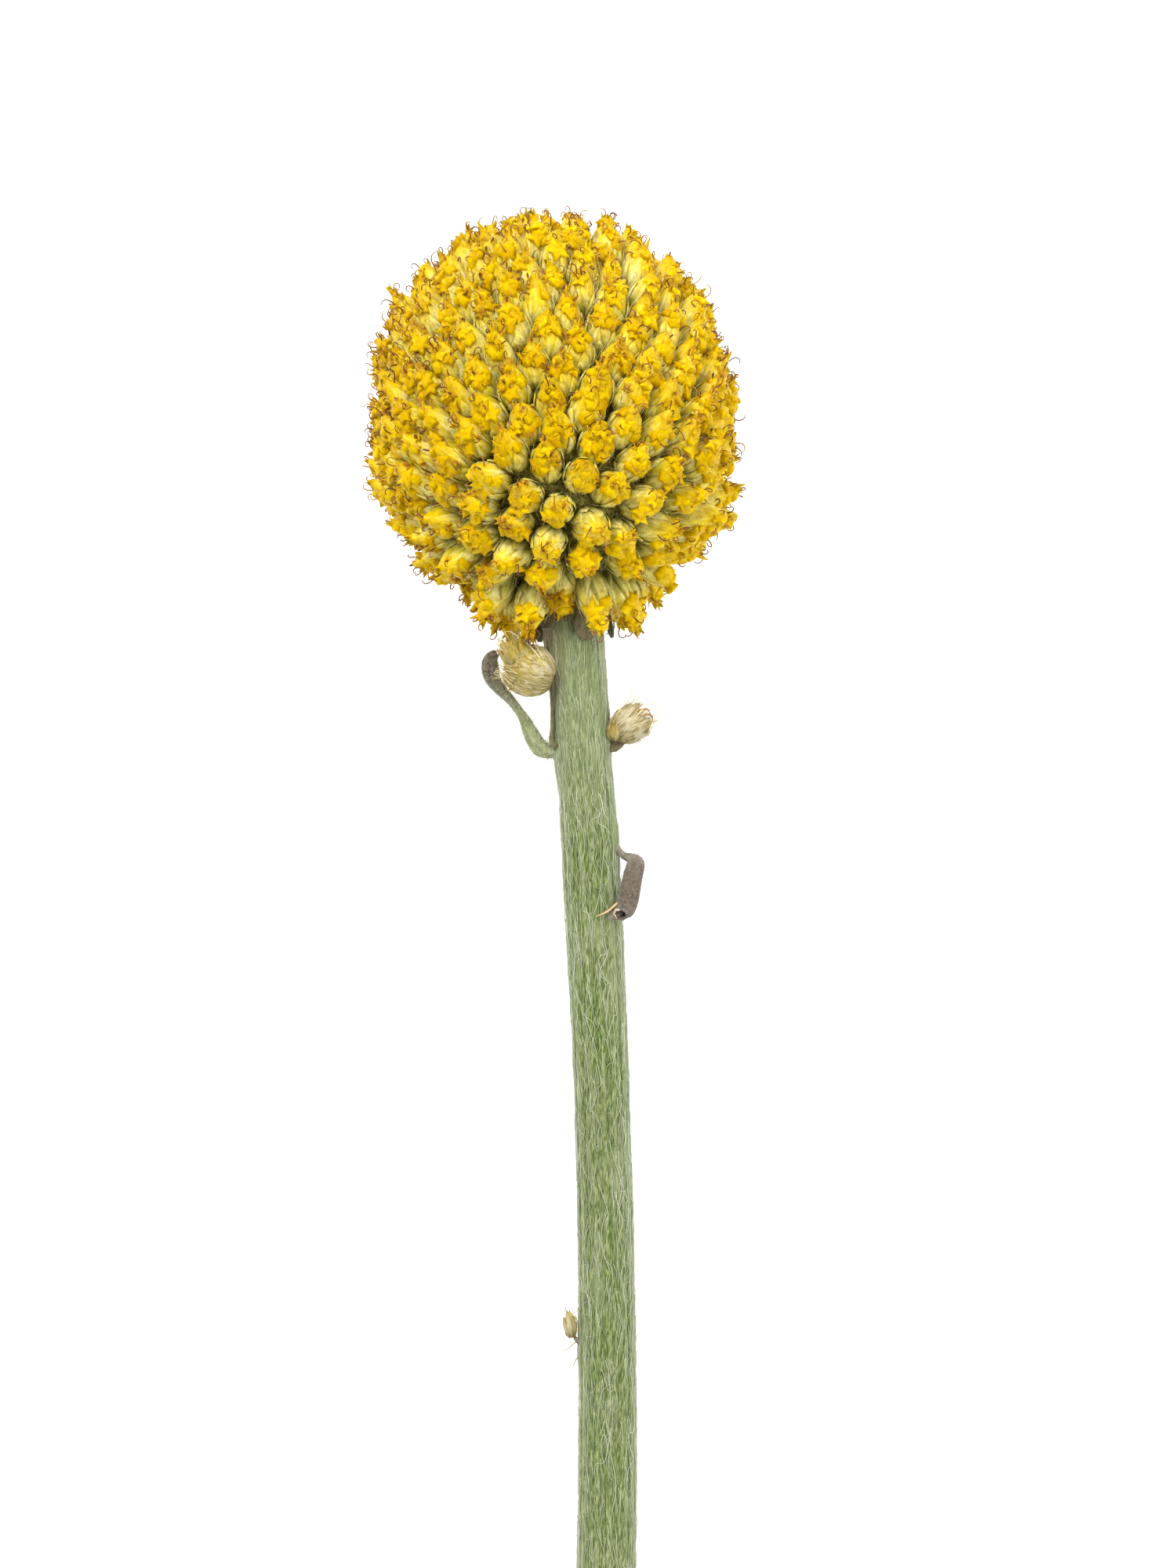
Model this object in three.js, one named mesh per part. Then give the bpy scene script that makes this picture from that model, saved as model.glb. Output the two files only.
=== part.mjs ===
// A billy buttons stem: a globe of small flower heads, packed side by side on a woolly core, at the end of a
// nearly straight stem that has been cut. It lies on a flat surface, as a cut flower does, and carries what is
// left of its leaves and of two side shoots.
//
// Millimetres, +Z up. The origin is the spot on the surface that the globe rests on. The stem runs from the
// globe along -Y and comes down to the surface at its cut end.

import * as THREE from "three";
import { ConvexHull } from "three/addons/math/ConvexHull.js";

// ---- Driving dimensions ----------------------------------------------------------------------------------

const HEAD_WIDTH = 27; // across the globe, from floret tip to floret tip
const HEAD_LENGTH = 29.4; // along the globe's own axis
const HEAD_SLIMMING = 0.05; // how much slimmer the half away from the stem is, as a share of the width
const HEAD_REST_HEIGHT = 12.7; // of the globe's centre, so its lowest florets are pressed flat by 0.8 mm
const CORE_SHARE = 0.71; // the core's size, as a share of the globe's

const BUTTON_PLACES = 310; // small flower heads, called buttons here, that would cover the whole globe
const STEM_CLEARING = THREE.MathUtils.degToRad(19.5); // no button grows nearer than this to the stem's axis
const PLACE_JITTER = 0.25; // how far a button starts off the even spiral, in steps between buttons
const EVENING_ROUNDS = 10; // rounds in which the buttons then push each other apart
const EVENING_PUSH = 0.08; // of a button on one that is a step away, in steps
const FOOT_RADIUS = 0.55; // of a button, where it stands on the core
const BELLY_RADIUS = 1.25; // and at its widest, where it has the room
const CROWN_RADIUS = 1.4; // and out to the tips of its florets
const CROWN_NOTCH = 0.74; // depth of the notches between florets, as a share of the tips' radius
const BUTTON_GAP = 0.1; // clear space on each button's side of the line half-way to the next one
const UNEVENNESS = 0.045; // how much shorter than the globe's radius the shortest buttons are

const STEM_RADIUS = 1.95;
const STEM_TOP = 7.1; // how far below the globe's centre the stem begins, inside the core
const STEM_END = 104; // and how far below it the stem is cut
const STEM_BOW = { side: 3.7, below: 69, rate: 0.000785 }; // its furthest point to +X, and how fast it bends
const STEM_SWELL = { share: 0.03, below: 18, length: 62 }; // it is thickest here, and again a length further
const STEM_RIB = 0.06; // how far the ribs stand out, and the grooves are sunk
const STEM_SIDES = 16;
const STEM_STEPS = 40;
const STEM_PRESSED = 0.1; // how deep the cut end's lowest rib is pressed flat on the surface
const CUT_SLANT = 0.6; // how far the cut's low edge stands out past its middle

const SEAT_GAP = 0.3; // between two pieces that touch

const NECK_SCALES = 5;
const NECK_SCALE = { below: 12.9, length: 2.2, width: 1.8, thick: 0.6 }; // below the globe's centre
const FIRST_NECK_SCALE = THREE.MathUtils.degToRad(64); // turned about the stem, from +X towards +Z

// ---- Colours ---------------------------------------------------------------------------------------------

const bloomYellow = new THREE.MeshStandardMaterial({ color: 0xe8bd18, roughness: 0.75 });
const stemGreen = new THREE.MeshStandardMaterial({ color: 0x8f9f68, roughness: 0.85 });
const leafGrey = new THREE.MeshStandardMaterial({ color: 0x85876c, roughness: 0.9 });
const deadLeafBrown = new THREE.MeshStandardMaterial({ color: 0x776e60, roughness: 0.9 });
const dryStraw = new THREE.MeshStandardMaterial({ color: 0xcfc08a, roughness: 0.6 });
const darkScale = new THREE.MeshStandardMaterial({ color: 0x5a5044, roughness: 0.9 });

// ---- Shared helpers --------------------------------------------------------------------------------------

const { lerp, smoothstep } = THREE.MathUtils;
const fullTurn = 2 * Math.PI;
const goldenTurn = Math.PI * (3 - Math.sqrt(5));

// A repeatable number from 0 to 1 for the given item and purpose.
function chance(item, purpose) {
  const wave = Math.sin(item * 127.1 + purpose * 311.7) * 43758.5453;
  return wave - Math.floor(wave);
}

// The same, spread evenly on both sides of 0, up to 1.
const swing = (item, purpose) => 2 * chance(item, purpose) - 1;

// A unit vector along an axis, and two across it, so that first x second = along.
function frameAlong(axis) {
  const along = axis.clone().normalize();
  const guide = Math.abs(along.y) < 0.9 ? new THREE.Vector3(0, 1, 0) : new THREE.Vector3(1, 0, 0);
  const first = guide.cross(along).normalize();
  return { along, first, second: along.clone().cross(first) };
}

// Points round a centre, counter-clockwise seen from the far end of the frame's axis. The radius and the
// height above the centre can differ from point to point, by its number and by the direction it lies in.
function circle(centre, frame, count, turn, radiusAt, heightAt = () => 0) {
  return Array.from({ length: count }, (_, k) => {
    const angle = turn + (fullTurn * k) / count;
    const towards = frame.first.clone().multiplyScalar(Math.cos(angle));
    towards.addScaledVector(frame.second, Math.sin(angle));
    const point = centre.clone().addScaledVector(towards, radiusAt(k, towards));
    return point.addScaledVector(frame.along, heightAt(k, towards));
  });
}

// A skin that grows ring by ring. Its points are shared, so a finished skin is one closed surface.
class Skin {
  points = [];
  faces = [];

  add(point) {
    this.points.push(point);
    return this.points.length - 1;
  }

  addAll(points) {
    return points.map((point) => this.add(point));
  }

  // The wall from one ring up to another with as many points.
  wall(lower, upper) {
    lower.forEach((point, k) => {
      const next = (k + 1) % lower.length;
      this.faces.push([point, lower[next], upper[next]], [point, upper[next], upper[k]]);
    });
  }

  // The wall from a ring up to a star with twice as many points, which are a tip and a notch in turn.
  starWall(lower, star) {
    lower.forEach((point, k) => {
      const next = (k + 1) % lower.length;
      const [tip, notch, nextTip] = [star[2 * k], star[2 * k + 1], star[2 * next]];
      this.faces.push([point, lower[next], notch], [point, notch, tip], [lower[next], nextTip, notch]);
    });
  }

  // A fan from a ring to one point in its middle, facing the side that the ring is counter-clockwise from.
  fan(ring, middle) {
    ring.forEach((point, k) => this.faces.push([point, ring[(k + 1) % ring.length], middle]));
  }

  // A tube through the given rings, closed at both ends by fans to the given points.
  tube(rings, start, end) {
    const sewn = rings.map((ring) => this.addAll(ring));
    this.fan(sewn[0].toReversed(), this.add(start));
    sewn.slice(1).forEach((ring, k) => this.wall(sewn[k], ring));
    this.fan(sewn.at(-1), this.add(end));
  }

  geometry() {
    const made = new THREE.BufferGeometry().setFromPoints(this.points);
    made.setIndex(this.faces.flat());
    made.computeVertexNormals();
    return made;
  }
}

// ---- The stem --------------------------------------------------------------------------------------------

// The stem's centreline at a distance below the globe's centre: it bows a little to the side, and drops
// evenly from the globe's centre to the surface.
function stemPoint(below) {
  const side = STEM_BOW.side - STEM_BOW.rate * (below - STEM_BOW.below) ** 2;
  const height = lerp(HEAD_REST_HEIGHT, STEM_RADIUS - STEM_PRESSED, below / STEM_END);
  return new THREE.Vector3(side, -below, height);
}

// The stem's outer radius at a distance below the globe's centre, over its ribs.
function stemGirth(below) {
  const phase = (fullTurn * (below - STEM_SWELL.below)) / STEM_SWELL.length;
  return STEM_RADIUS * (1 + STEM_SWELL.share * Math.cos(phase)) + STEM_RIB;
}

// A point beside the stem: below the globe's centre, out from the centreline to the side (+X is positive) and
// raised above the centreline.
function besideStem(below, out, raised) {
  const centre = stemPoint(below);
  return new THREE.Vector3(centre.x + out, centre.y, centre.z + raised);
}

function buildStem() {
  const rings = [];
  for (let step = 0; step <= STEM_STEPS; step++) {
    const below = lerp(STEM_TOP, STEM_END, step / STEM_STEPS);
    const frame = frameAlong(stemPoint(below + 0.1).sub(stemPoint(below - 0.1)));
    const radiusAt = (k) => stemGirth(below) - (k % 2 ? 2 * STEM_RIB : 0);
    const slant = step === STEM_STEPS ? CUT_SLANT / STEM_RADIUS : 0;
    const heightAt = (k, towards) => -slant * stemGirth(below) * towards.z;
    rings.push(circle(stemPoint(below), frame, STEM_SIDES, 0, radiusAt, heightAt));
  }
  rings.flat().forEach((point) => (point.z = Math.max(point.z, 0)));
  const skin = new Skin();
  skin.tube(rings, stemPoint(STEM_TOP), stemPoint(STEM_END));
  return skin.geometry();
}

// ---- The globe of buttons --------------------------------------------------------------------------------

// The globe is worked out in its own frame: +Y points away from the stem, and its -Y pole is where the stem's
// centreline enters the core.
const headCentre = new THREE.Vector3(0, 0, HEAD_REST_HEIGHT);
const coreLength = (CORE_SHARE * HEAD_LENGTH) / 2;
const stemwards = stemPoint(coreLength).sub(headCentre).normalize();
const stemPole = new THREE.Vector3(0, -1, 0);
const headTurn = new THREE.Quaternion().setFromUnitVectors(stemPole, stemwards);
const intoHeadFrame = headTurn.clone().invert();
const downwards = new THREE.Vector3(0, 0, -1).applyQuaternion(intoHeadFrame);

// Carries a point of the unit sphere to the globe, at the given share of its size.
function onHead(unit, share) {
  const slim = 1 - HEAD_SLIMMING * Math.sin(Math.PI * Math.max(0, unit.y));
  const radii = new THREE.Vector3((slim * HEAD_WIDTH) / 2, HEAD_LENGTH / 2, (slim * HEAD_WIDTH) / 2);
  return unit.clone().multiply(radii).multiplyScalar(share);
}

// One round of evening out: near buttons push each other apart, but none moves nearer to the stem than the
// clearing allows, and the held one stays.
function evenOut(places, step, held) {
  const pushes = places.map((place) => {
    const push = new THREE.Vector3();
    for (const other of places) {
      const away = place.clone().sub(other);
      const steps = away.length() / step;
      if (steps > 0 && steps < 2) push.addScaledVector(away, (EVENING_PUSH * (2 - steps)) / steps ** 3);
    }
    return push;
  });
  places.forEach((place, i) => {
    if (place !== held) place.add(pushes[i]).normalize();
    if (place.angleTo(stemPole) < STEM_CLEARING) {
      const ringRadius = Math.sin(STEM_CLEARING) / Math.hypot(place.x, place.z);
      place.set(place.x * ringRadius, -Math.cos(STEM_CLEARING), place.z * ringRadius);
    }
  });
}

// The directions that the buttons stand in: a golden-angle spiral from the top down to the stem, turned so
// that one of its places points straight down, then loosened and evened out.
function buttonDirections() {
  const heightOf = (i) => 1 - (2 * i + 1) / BUTTON_PLACES;
  const lowest = Math.round(((1 - downwards.y) * BUTTON_PLACES - 1) / 2);
  const turn = Math.atan2(downwards.z, downwards.x) - lowest * goldenTurn;
  const step = Math.sqrt((4 * Math.PI) / BUTTON_PLACES);
  const places = [];
  for (let i = 0; heightOf(i) > -Math.cos(STEM_CLEARING); i++) {
    const ringRadius = Math.sqrt(1 - heightOf(i) ** 2);
    const angle = i * goldenTurn + turn;
    const place = new THREE.Vector3(ringRadius * Math.cos(angle), heightOf(i), ringRadius * Math.sin(angle));
    const loosened = new THREE.Vector3(swing(i, 1), swing(i, 2), swing(i, 3));
    places.push(place.addScaledVector(loosened, PLACE_JITTER * step).normalize());
  }
  places[lowest].copy(downwards);
  for (let round = 0; round < EVENING_ROUNDS; round++) evenOut(places, step, places[lowest]);
  return places;
}

// How far one can go from a button towards a direction, at a share of the globe's size, before it is as near
// to another button; less the gap, and at most the given radius.
function roomAround(directions, unit, share, most) {
  const centre = onHead(unit, share);
  const aways = directions.filter((other) => other !== unit).map((other) => onHead(other, share).sub(centre));
  return (towards) => {
    const limits = aways.map((away) => {
      const ahead = away.dot(towards);
      return ahead > 0 ? away.lengthSq() / (2 * ahead) - BUTTON_GAP : Infinity;
    });
    return Math.min(most, ...limits);
  };
}

// One button: a goblet of bracts that swells from its foot, with a star of florets on top. Its foot is a ring
// of points on the core, which the core's skin is sewn to later.
function addButton(skin, directions, i) {
  const unit = directions[i];
  const frame = frameAlong(unit);
  const sides = chance(i, 9) < 0.5 ? 4 : 5;
  const turn = fullTurn * chance(i, 4);
  const reach = unit.equals(downwards) ? 1 : 1 - UNEVENNESS * chance(i, 5);
  const [bellyShare, crownShare, tipShare] = [0.885 * reach, 0.95 * reach, reach];
  const bellyRoom = roomAround(directions, unit, bellyShare, BELLY_RADIUS);
  const crownRoom = roomAround(directions, unit, crownShare, CROWN_RADIUS);

  const footAngle = (2 * FOOT_RADIUS) / (CORE_SHARE * HEAD_WIDTH);
  const footPoints = circle(unit, frame, sides, turn, () => footAngle).map((point) => point.normalize());
  const foot = skin.addAll(footPoints.map((point) => onHead(point, CORE_SHARE)));
  const belly = circle(onHead(unit, bellyShare), frame, sides, turn, (k, towards) => bellyRoom(towards));
  const crown = circle(
    onHead(unit, crownShare),
    frame,
    2 * sides,
    turn,
    (k, towards) => crownRoom(towards) * (k % 2 ? CROWN_NOTCH : 1),
    (k) => (k % 2 ? -0.1 : 0.2 + 0.3 * chance(i, 10 + k)),
  );
  const [bellyRing, crownRing] = [skin.addAll(belly), skin.addAll(crown)];
  skin.wall(foot, bellyRing);
  skin.starWall(bellyRing, crownRing);
  skin.fan(crownRing, skin.add(onHead(unit, tipShare)));
  return { foot, footPoints };
}

// The hole that the stem stands in: a well round the stem's centreline, open at the core's skin.
function addStemWell(skin) {
  const wellRadius = stemGirth(STEM_SWELL.below) + SEAT_GAP;
  const frame = frameAlong(stemPole);
  const mouthAngle = Math.asin((2 * wellRadius) / (CORE_SHARE * HEAD_WIDTH));
  const footPoints = circle(stemPole, frame, STEM_SIDES, 0, () => Math.tan(mouthAngle));
  footPoints.forEach((point) => point.normalize());
  const foot = skin.addAll(footPoints.map((point) => onHead(point, CORE_SHARE)));
  const floorPoint = stemPoint(STEM_TOP - SEAT_GAP).sub(headCentre).applyQuaternion(intoHeadFrame);
  const floor = skin.addAll(circle(floorPoint, frame, STEM_SIDES, 0, () => wellRadius));
  skin.wall(foot, floor);
  skin.fan(floor, skin.add(floorPoint));
  return { foot, footPoints };
}

// The core's skin between the feet: the convex hull of all the feet's points on the unit sphere, without the
// faces that lie inside a foot.
function sewCore(skin, feet) {
  const owners = new Map();
  for (const { foot, footPoints } of feet) {
    footPoints.forEach((point, k) => owners.set(point, { foot, index: foot[k] }));
  }
  for (const face of new ConvexHull().setFromPoints([...owners.keys()]).faces) {
    const corners = [];
    let edge = face.edge;
    do {
      corners.push(owners.get(edge.head().point));
      edge = edge.next;
    } while (edge !== face.edge);
    if (corners.some((corner) => corner.foot !== corners[0].foot)) {
      skin.faces.push(corners.map((corner) => corner.index));
    }
  }
}

function buildHead() {
  const skin = new Skin();
  const directions = buttonDirections();
  const feet = directions.map((_, i) => addButton(skin, directions, i));
  feet.push(addStemWell(skin));
  sewCore(skin, feet);
  for (const point of skin.points) {
    point.applyQuaternion(headTurn);
    point.z = Math.max(point.z, -HEAD_REST_HEIGHT); // the lowest florets are pressed flat on the surface
  }
  return skin.geometry();
}

// ---- Leaves, shoots and scales ---------------------------------------------------------------------------

// A slim body along a curve, with an oval section. Each station gives how far along it is, from 0 to 1, its
// width and its thickness. The width lies along the given direction, as far as the curve allows.
function buildBlade(route, stations, widthwards, steps = 14, sides = 8) {
  const curve = new THREE.CatmullRomCurve3(route);
  const rings = [];
  for (let step = 0; step <= steps; step++) {
    const share = step / steps;
    const next = Math.max(1, stations.findIndex((station) => station.at >= share));
    const [from, to] = [stations[next - 1], stations[next]];
    const blend = smoothstep(share, from.at, to.at);
    const along = curve.getTangentAt(share);
    const wide = widthwards.clone().addScaledVector(along, -along.dot(widthwards)).normalize();
    wide.multiplyScalar(lerp(from.width, to.width, blend) / 2);
    const thick = along.clone().cross(wide).setLength(lerp(from.thick, to.thick, blend) / 2);
    rings.push(circle(curve.getPointAt(share), { first: wide, second: thick, along }, sides, 0, () => 1));
  }
  const skin = new Skin();
  skin.tube(rings, curve.getPointAt(0), curve.getPointAt(1));
  return skin.geometry();
}

const sideways = new THREE.Vector3(1, 0, 0);

// The leaf on the left: it leaves the stem, turns up beside it and ends in a thick felted tip.
function buildUpperLeaf() {
  const route = [
    besideStem(22.6, -2.38, 0),
    besideStem(22.45, -3.05, 0),
    besideStem(21.6, -3.46, 0),
    besideStem(20.4, -4.03, 0.05),
    besideStem(19.5, -4.55, 0.1),
    besideStem(18.45, -5.3, 0.2),
    besideStem(17.3, -6, 0.3),
    besideStem(16.6, -6.15, 0.4),
    besideStem(16.2, -5.95, 0.4),
  ];
  const stations = [
    { at: 0, width: 0.7, thick: 0.7 },
    { at: 0.22, width: 1.05, thick: 0.8 },
    { at: 0.5, width: 0.6, thick: 0.7 },
    { at: 0.8, width: 1.05, thick: 0.9 },
    { at: 0.92, width: 1.05, thick: 0.9 },
    { at: 1, width: 0.6, thick: 0.6 },
  ];
  return buildBlade(route, stations, sideways);
}

// The thin stalk that rises from the leaf's foot, along the stem, to the dry button on the left.
function buildSideStalk() {
  const route = [besideStem(21.7, -2.4, 1.2), besideStem(20.2, -2.15, 1.6), besideStem(18, -2.1, 1.7)];
  const stations = [
    { at: 0, width: 0.7, thick: 0.6 },
    { at: 1, width: 0.6, thick: 0.6 },
  ];
  return buildBlade(route, stations, sideways, 5);
}

// The dead leaf on the right: a thin neck out from the stem, then a folded blade that hangs along it.
function buildDeadLeaf() {
  const route = [
    besideStem(29.75, 2.3, 0.7),
    besideStem(29.95, 2.65, 0.8),
    besideStem(30.4, 2.95, 0.95),
    besideStem(31.2, 2.88, 1.15),
    besideStem(32.1, 2.7, 1.4),
    besideStem(33.1, 2.5, 1.65),
    besideStem(33.9, 2.3, 1.85),
    besideStem(34.4, 2.15, 1.9),
  ];
  const stations = [
    { at: 0, width: 0.6, thick: 0.6 },
    { at: 0.16, width: 0.65, thick: 0.7 },
    { at: 0.35, width: 1.3, thick: 0.8 },
    { at: 0.65, width: 1.3, thick: 0.9 },
    { at: 0.9, width: 0.95, thick: 0.9 },
    { at: 1, width: 0.5, thick: 0.6 },
  ];
  return buildBlade(route, stations, sideways);
}

// The dark scale that the dry button on the right stands on.
function buildShootFoot() {
  const route = [besideStem(22.95, 2.38, 0.2), besideStem(22.9, 2.75, 0.2), besideStem(22.75, 3.1, 0.2)];
  const stations = [
    { at: 0, width: 0.6, thick: 0.8 },
    { at: 1, width: 0.6, thick: 0.7 },
  ];
  return buildBlade(route, stations, sideways, 4);
}

// A dry button: a cup of papery bracts on a foot, closed at the top by the bracts' ragged tips.
function buildDryButton(foot, tip, radius, item, sides = 8) {
  const frame = frameAlong(tip.clone().sub(foot));
  const height = tip.distanceTo(foot);
  const turn = fullTurn * chance(item, 20);
  const skin = new Skin();
  const girths = [
    { at: 0, girth: 0.3 },
    { at: 0.14, girth: 0.62 },
    { at: 0.36, girth: 0.95 },
    { at: 0.58, girth: 1 },
    { at: 0.74, girth: 0.88 },
  ];
  const rings = girths.map(({ at, girth }) =>
    skin.addAll(circle(foot.clone().lerp(tip, at), frame, sides, turn, () => radius * girth)),
  );
  const mouth = circle(
    foot.clone().lerp(tip, 0.9),
    frame,
    2 * sides,
    turn,
    (k) => radius * (k % 2 ? 0.5 : 0.62 + 0.14 * chance(item, 30 + k)),
    (k) => height * (k % 2 ? -0.03 : 0.1 * chance(item, 50 + k)),
  );
  const mouthRing = skin.addAll(mouth);
  skin.fan(rings[0].toReversed(), skin.add(foot));
  rings.slice(1).forEach((upper, k) => skin.wall(rings[k], upper));
  skin.starWall(rings.at(-1), mouthRing);
  skin.fan(mouthRing, skin.add(foot.clone().lerp(tip, 0.8)));
  return skin.geometry();
}

// One of the dark scales that hang round the stem's neck, from under the globe.
function buildNeckScale(i) {
  const around = FIRST_NECK_SCALE + (fullTurn * i) / NECK_SCALES + 0.12 * swing(i, 70);
  const out = stemGirth(NECK_SCALE.below) + SEAT_GAP + NECK_SCALE.thick / 2;
  const length = NECK_SCALE.length * (0.9 + 0.1 * chance(i, 71));
  const alongside = (share, spread) =>
    besideStem(
      NECK_SCALE.below + length * share,
      (out + spread) * Math.cos(around),
      (out + spread) * Math.sin(around),
    );
  const stations = [
    { at: 0, width: 0.9, thick: NECK_SCALE.thick },
    { at: 0.6, width: NECK_SCALE.width, thick: NECK_SCALE.thick },
    { at: 0.85, width: 0.8 * NECK_SCALE.width, thick: NECK_SCALE.thick },
    { at: 1, width: 0.6, thick: NECK_SCALE.thick },
  ];
  const roundTheStem = new THREE.Vector3(-Math.sin(around), 0, Math.cos(around));
  return buildBlade([alongside(0, 0), alongside(0.5, 0.05), alongside(1, 0.15)], stations, roundTheStem, 6);
}

// ---- The part --------------------------------------------------------------------------------------------

const part = new THREE.Group();

function addPiece(name, geometry, material) {
  const mesh = new THREE.Mesh(geometry, material);
  mesh.name = name;
  part.add(mesh);
  return mesh;
}

addPiece("flower_head", buildHead(), bloomYellow).position.copy(headCentre);
addPiece("stem", buildStem(), stemGreen);
addPiece("upper_leaf", buildUpperLeaf(), leafGrey);
addPiece("dead_leaf", buildDeadLeaf(), deadLeafBrown);
addPiece("side_stalk", buildSideStalk(), stemGreen);
const leftFoot = besideStem(17.25, -1.8, 2.15);
addPiece("dry_button_left", buildDryButton(leftFoot, besideStem(16.75, -5.35, 1.8), 1.75, 1), dryStraw);
addPiece("shoot_foot_right", buildShootFoot(), darkScale);
const rightFoot = besideStem(22, 2.85, 0.3);
addPiece("dry_button_right", buildDryButton(rightFoot, besideStem(19.65, 4.85, 0.5), 1.35, 2), dryStraw);
const lowBudFoot = besideStem(63.9, -2.65, 0.3);
addPiece("shrivelled_bud", buildDryButton(lowBudFoot, besideStem(61.95, -2.9, 0.3), 0.42, 3, 6), dryStraw);
for (let i = 0; i < NECK_SCALES; i++) addPiece(`neck_scale_${i + 1}`, buildNeckScale(i), darkScale);

export default part;
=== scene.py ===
# %% [markdown]
# # A dried billy buttons stem
#
# A billy button is a globe of hundreds of small flower heads, each no bigger than a grain of rice. This
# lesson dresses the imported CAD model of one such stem. Every small head gets its silky bracts, its
# star-shaped florets and its curled brown styles, the stem gets ribs and down, and the withered leaves get
# their felt.
#
# All shapes are worked out with numpy as whole arrays, in millimetres, as in the CAD model. They become
# metres when they are written into a mesh.

import bpy
import numpy as np
from mathutils import Matrix, Vector


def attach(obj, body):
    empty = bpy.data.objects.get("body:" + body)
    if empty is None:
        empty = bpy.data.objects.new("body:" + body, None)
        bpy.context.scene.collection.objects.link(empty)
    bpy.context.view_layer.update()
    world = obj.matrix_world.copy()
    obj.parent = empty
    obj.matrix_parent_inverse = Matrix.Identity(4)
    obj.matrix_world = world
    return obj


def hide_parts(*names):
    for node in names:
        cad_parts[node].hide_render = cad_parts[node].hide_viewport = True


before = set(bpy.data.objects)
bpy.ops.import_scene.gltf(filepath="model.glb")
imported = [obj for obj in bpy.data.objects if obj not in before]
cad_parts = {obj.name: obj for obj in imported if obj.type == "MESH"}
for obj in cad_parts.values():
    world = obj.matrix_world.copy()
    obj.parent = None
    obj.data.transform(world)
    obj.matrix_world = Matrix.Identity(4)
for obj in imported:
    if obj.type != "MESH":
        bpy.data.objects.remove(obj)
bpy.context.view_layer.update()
MM = 0.001  # metres in a millimetre

# %% [markdown]
# ## Chance that repeats
#
# Nothing that grew is regular, yet the stem has to come out the same every time. So every random draw is
# a formula of the item's number and of what the draw is for. The CAD model uses the same formula for the
# places of the small heads, and so this script finds each head where its solid is.

# %% Repeatable random draws


def chance(item, purpose):
    """A number from 0 to 1: the fraction that is left of sin(127.1 item + 311.7 purpose) * 43758.5453."""
    wave = np.sin(np.asarray(item) * 127.1 + purpose * 311.7) * 43758.5453
    return wave - np.floor(wave)


def swing(item, purpose):
    """The same, from -1 to 1."""
    return 2 * chance(item, purpose) - 1


def swing_3d(item, purpose):
    """A vector of three numbers from -1 to 1, drawn for this purpose and the next two."""
    return np.stack([swing(item, purpose + k) for k in range(3)], -1)


# %% Small formulas


def between(low, high, share):
    """low at share 0 and high at share 1, in a straight line."""
    return low + (high - low) * share


def bell(value, middle, width):
    """1 at the middle, falling off to both sides: exp(-((value - middle) / width)^2)."""
    return np.exp(-(((value - middle) / width) ** 2))


def unit(vectors):
    """Each vector divided by its length."""
    return vectors / np.linalg.norm(vectors, axis=-1, keepdims=True)


def round_axis(distance, angle, height):
    """Points at a distance from the z axis, at an angle round it and at a height."""
    return np.stack(np.broadcast_arrays(distance * np.cos(angle), distance * np.sin(angle), height), -1)


# %% [markdown]
# ## From arrays to a mesh
#
# Almost every piece here is a tube of some kind: rings of points, one after another along a path. A bract is
# a flat tube, a floret is a tube that opens like a trumpet, and a hair is a very thin one. One rule for the
# faces therefore serves them all: quads between two rings, and one face across each end, which closes it.

# %% Faces of tubes


def tube_faces(copies, rows, columns):
    """Quads and end faces of tubes whose points come in the order copy, row, column.

    Quad (r, k) joins ring r to ring r + 1. The rings turn counter-clockwise seen from the tube's end, which
    makes all faces point outwards."""
    first = np.arange(copies)[:, None, None] * rows * columns
    row = np.arange(rows - 1)[None, :, None] * columns
    column = np.arange(columns)[None, None, :]
    beside = (column + 1) % columns
    here = first + row
    walls = np.stack([here + column, here + beside, here + columns + beside, here + columns + column], -1)
    start = np.arange(copies)[:, None] * rows * columns + np.arange(columns)[None, ::-1]
    end = start[:, ::-1] + (rows - 1) * columns
    return [walls.reshape(-1, 4), np.concatenate([start, end])]


# %% Make a piece and hide the node that it replaces
FLOOR_CLEARANCE = 0.01  # mm above the surface, where whatever would reach it is pressed flat


def make_tubes(name, node, points, finish, **attributes):
    """Writes closed tubes into one smooth mesh of that name, which stands for the CAD model's node.

    The points are in mm, in an array of ... x rows x columns x 3. Each attribute is a number or an array that
    repeats to one number for each point."""
    rows, columns = points.shape[-3:-1]
    flat = points.reshape(-1, 3).copy()
    flat[:, 2] = np.maximum(flat[:, 2], FLOOR_CLEARANCE)
    faces = tube_faces(len(flat) // (rows * columns), rows, columns)
    corners = np.concatenate([part.ravel() for part in faces]).astype(np.int32)
    counts = np.concatenate([np.full(len(part), part.shape[1]) for part in faces])
    starts = np.concatenate([[0], np.cumsum(counts)[:-1]]).astype(np.int32)
    mesh = bpy.data.meshes.new(name)
    mesh.vertices.add(len(flat))
    mesh.vertices.foreach_set("co", (flat * MM).ravel())
    mesh.loops.add(len(corners))
    mesh.loops.foreach_set("vertex_index", corners)
    mesh.polygons.add(len(counts))
    mesh.polygons.foreach_set("loop_start", starts)
    mesh.update(calc_edges=True)
    mesh.shade_smooth()
    for label, values in attributes.items():
        layer = mesh.attributes.new(label, "FLOAT", "POINT")
        layer.data.foreach_set("value", np.broadcast_to(values, points.shape[:-1]).astype(np.float32).ravel())
    mesh.materials.append(finish)
    piece = bpy.data.objects.new(name, mesh)
    bpy.context.scene.collection.objects.link(piece)
    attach(piece, "root")
    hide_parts(node)
    print(f"{name}: {int((counts - 2).sum())} triangles")


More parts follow.
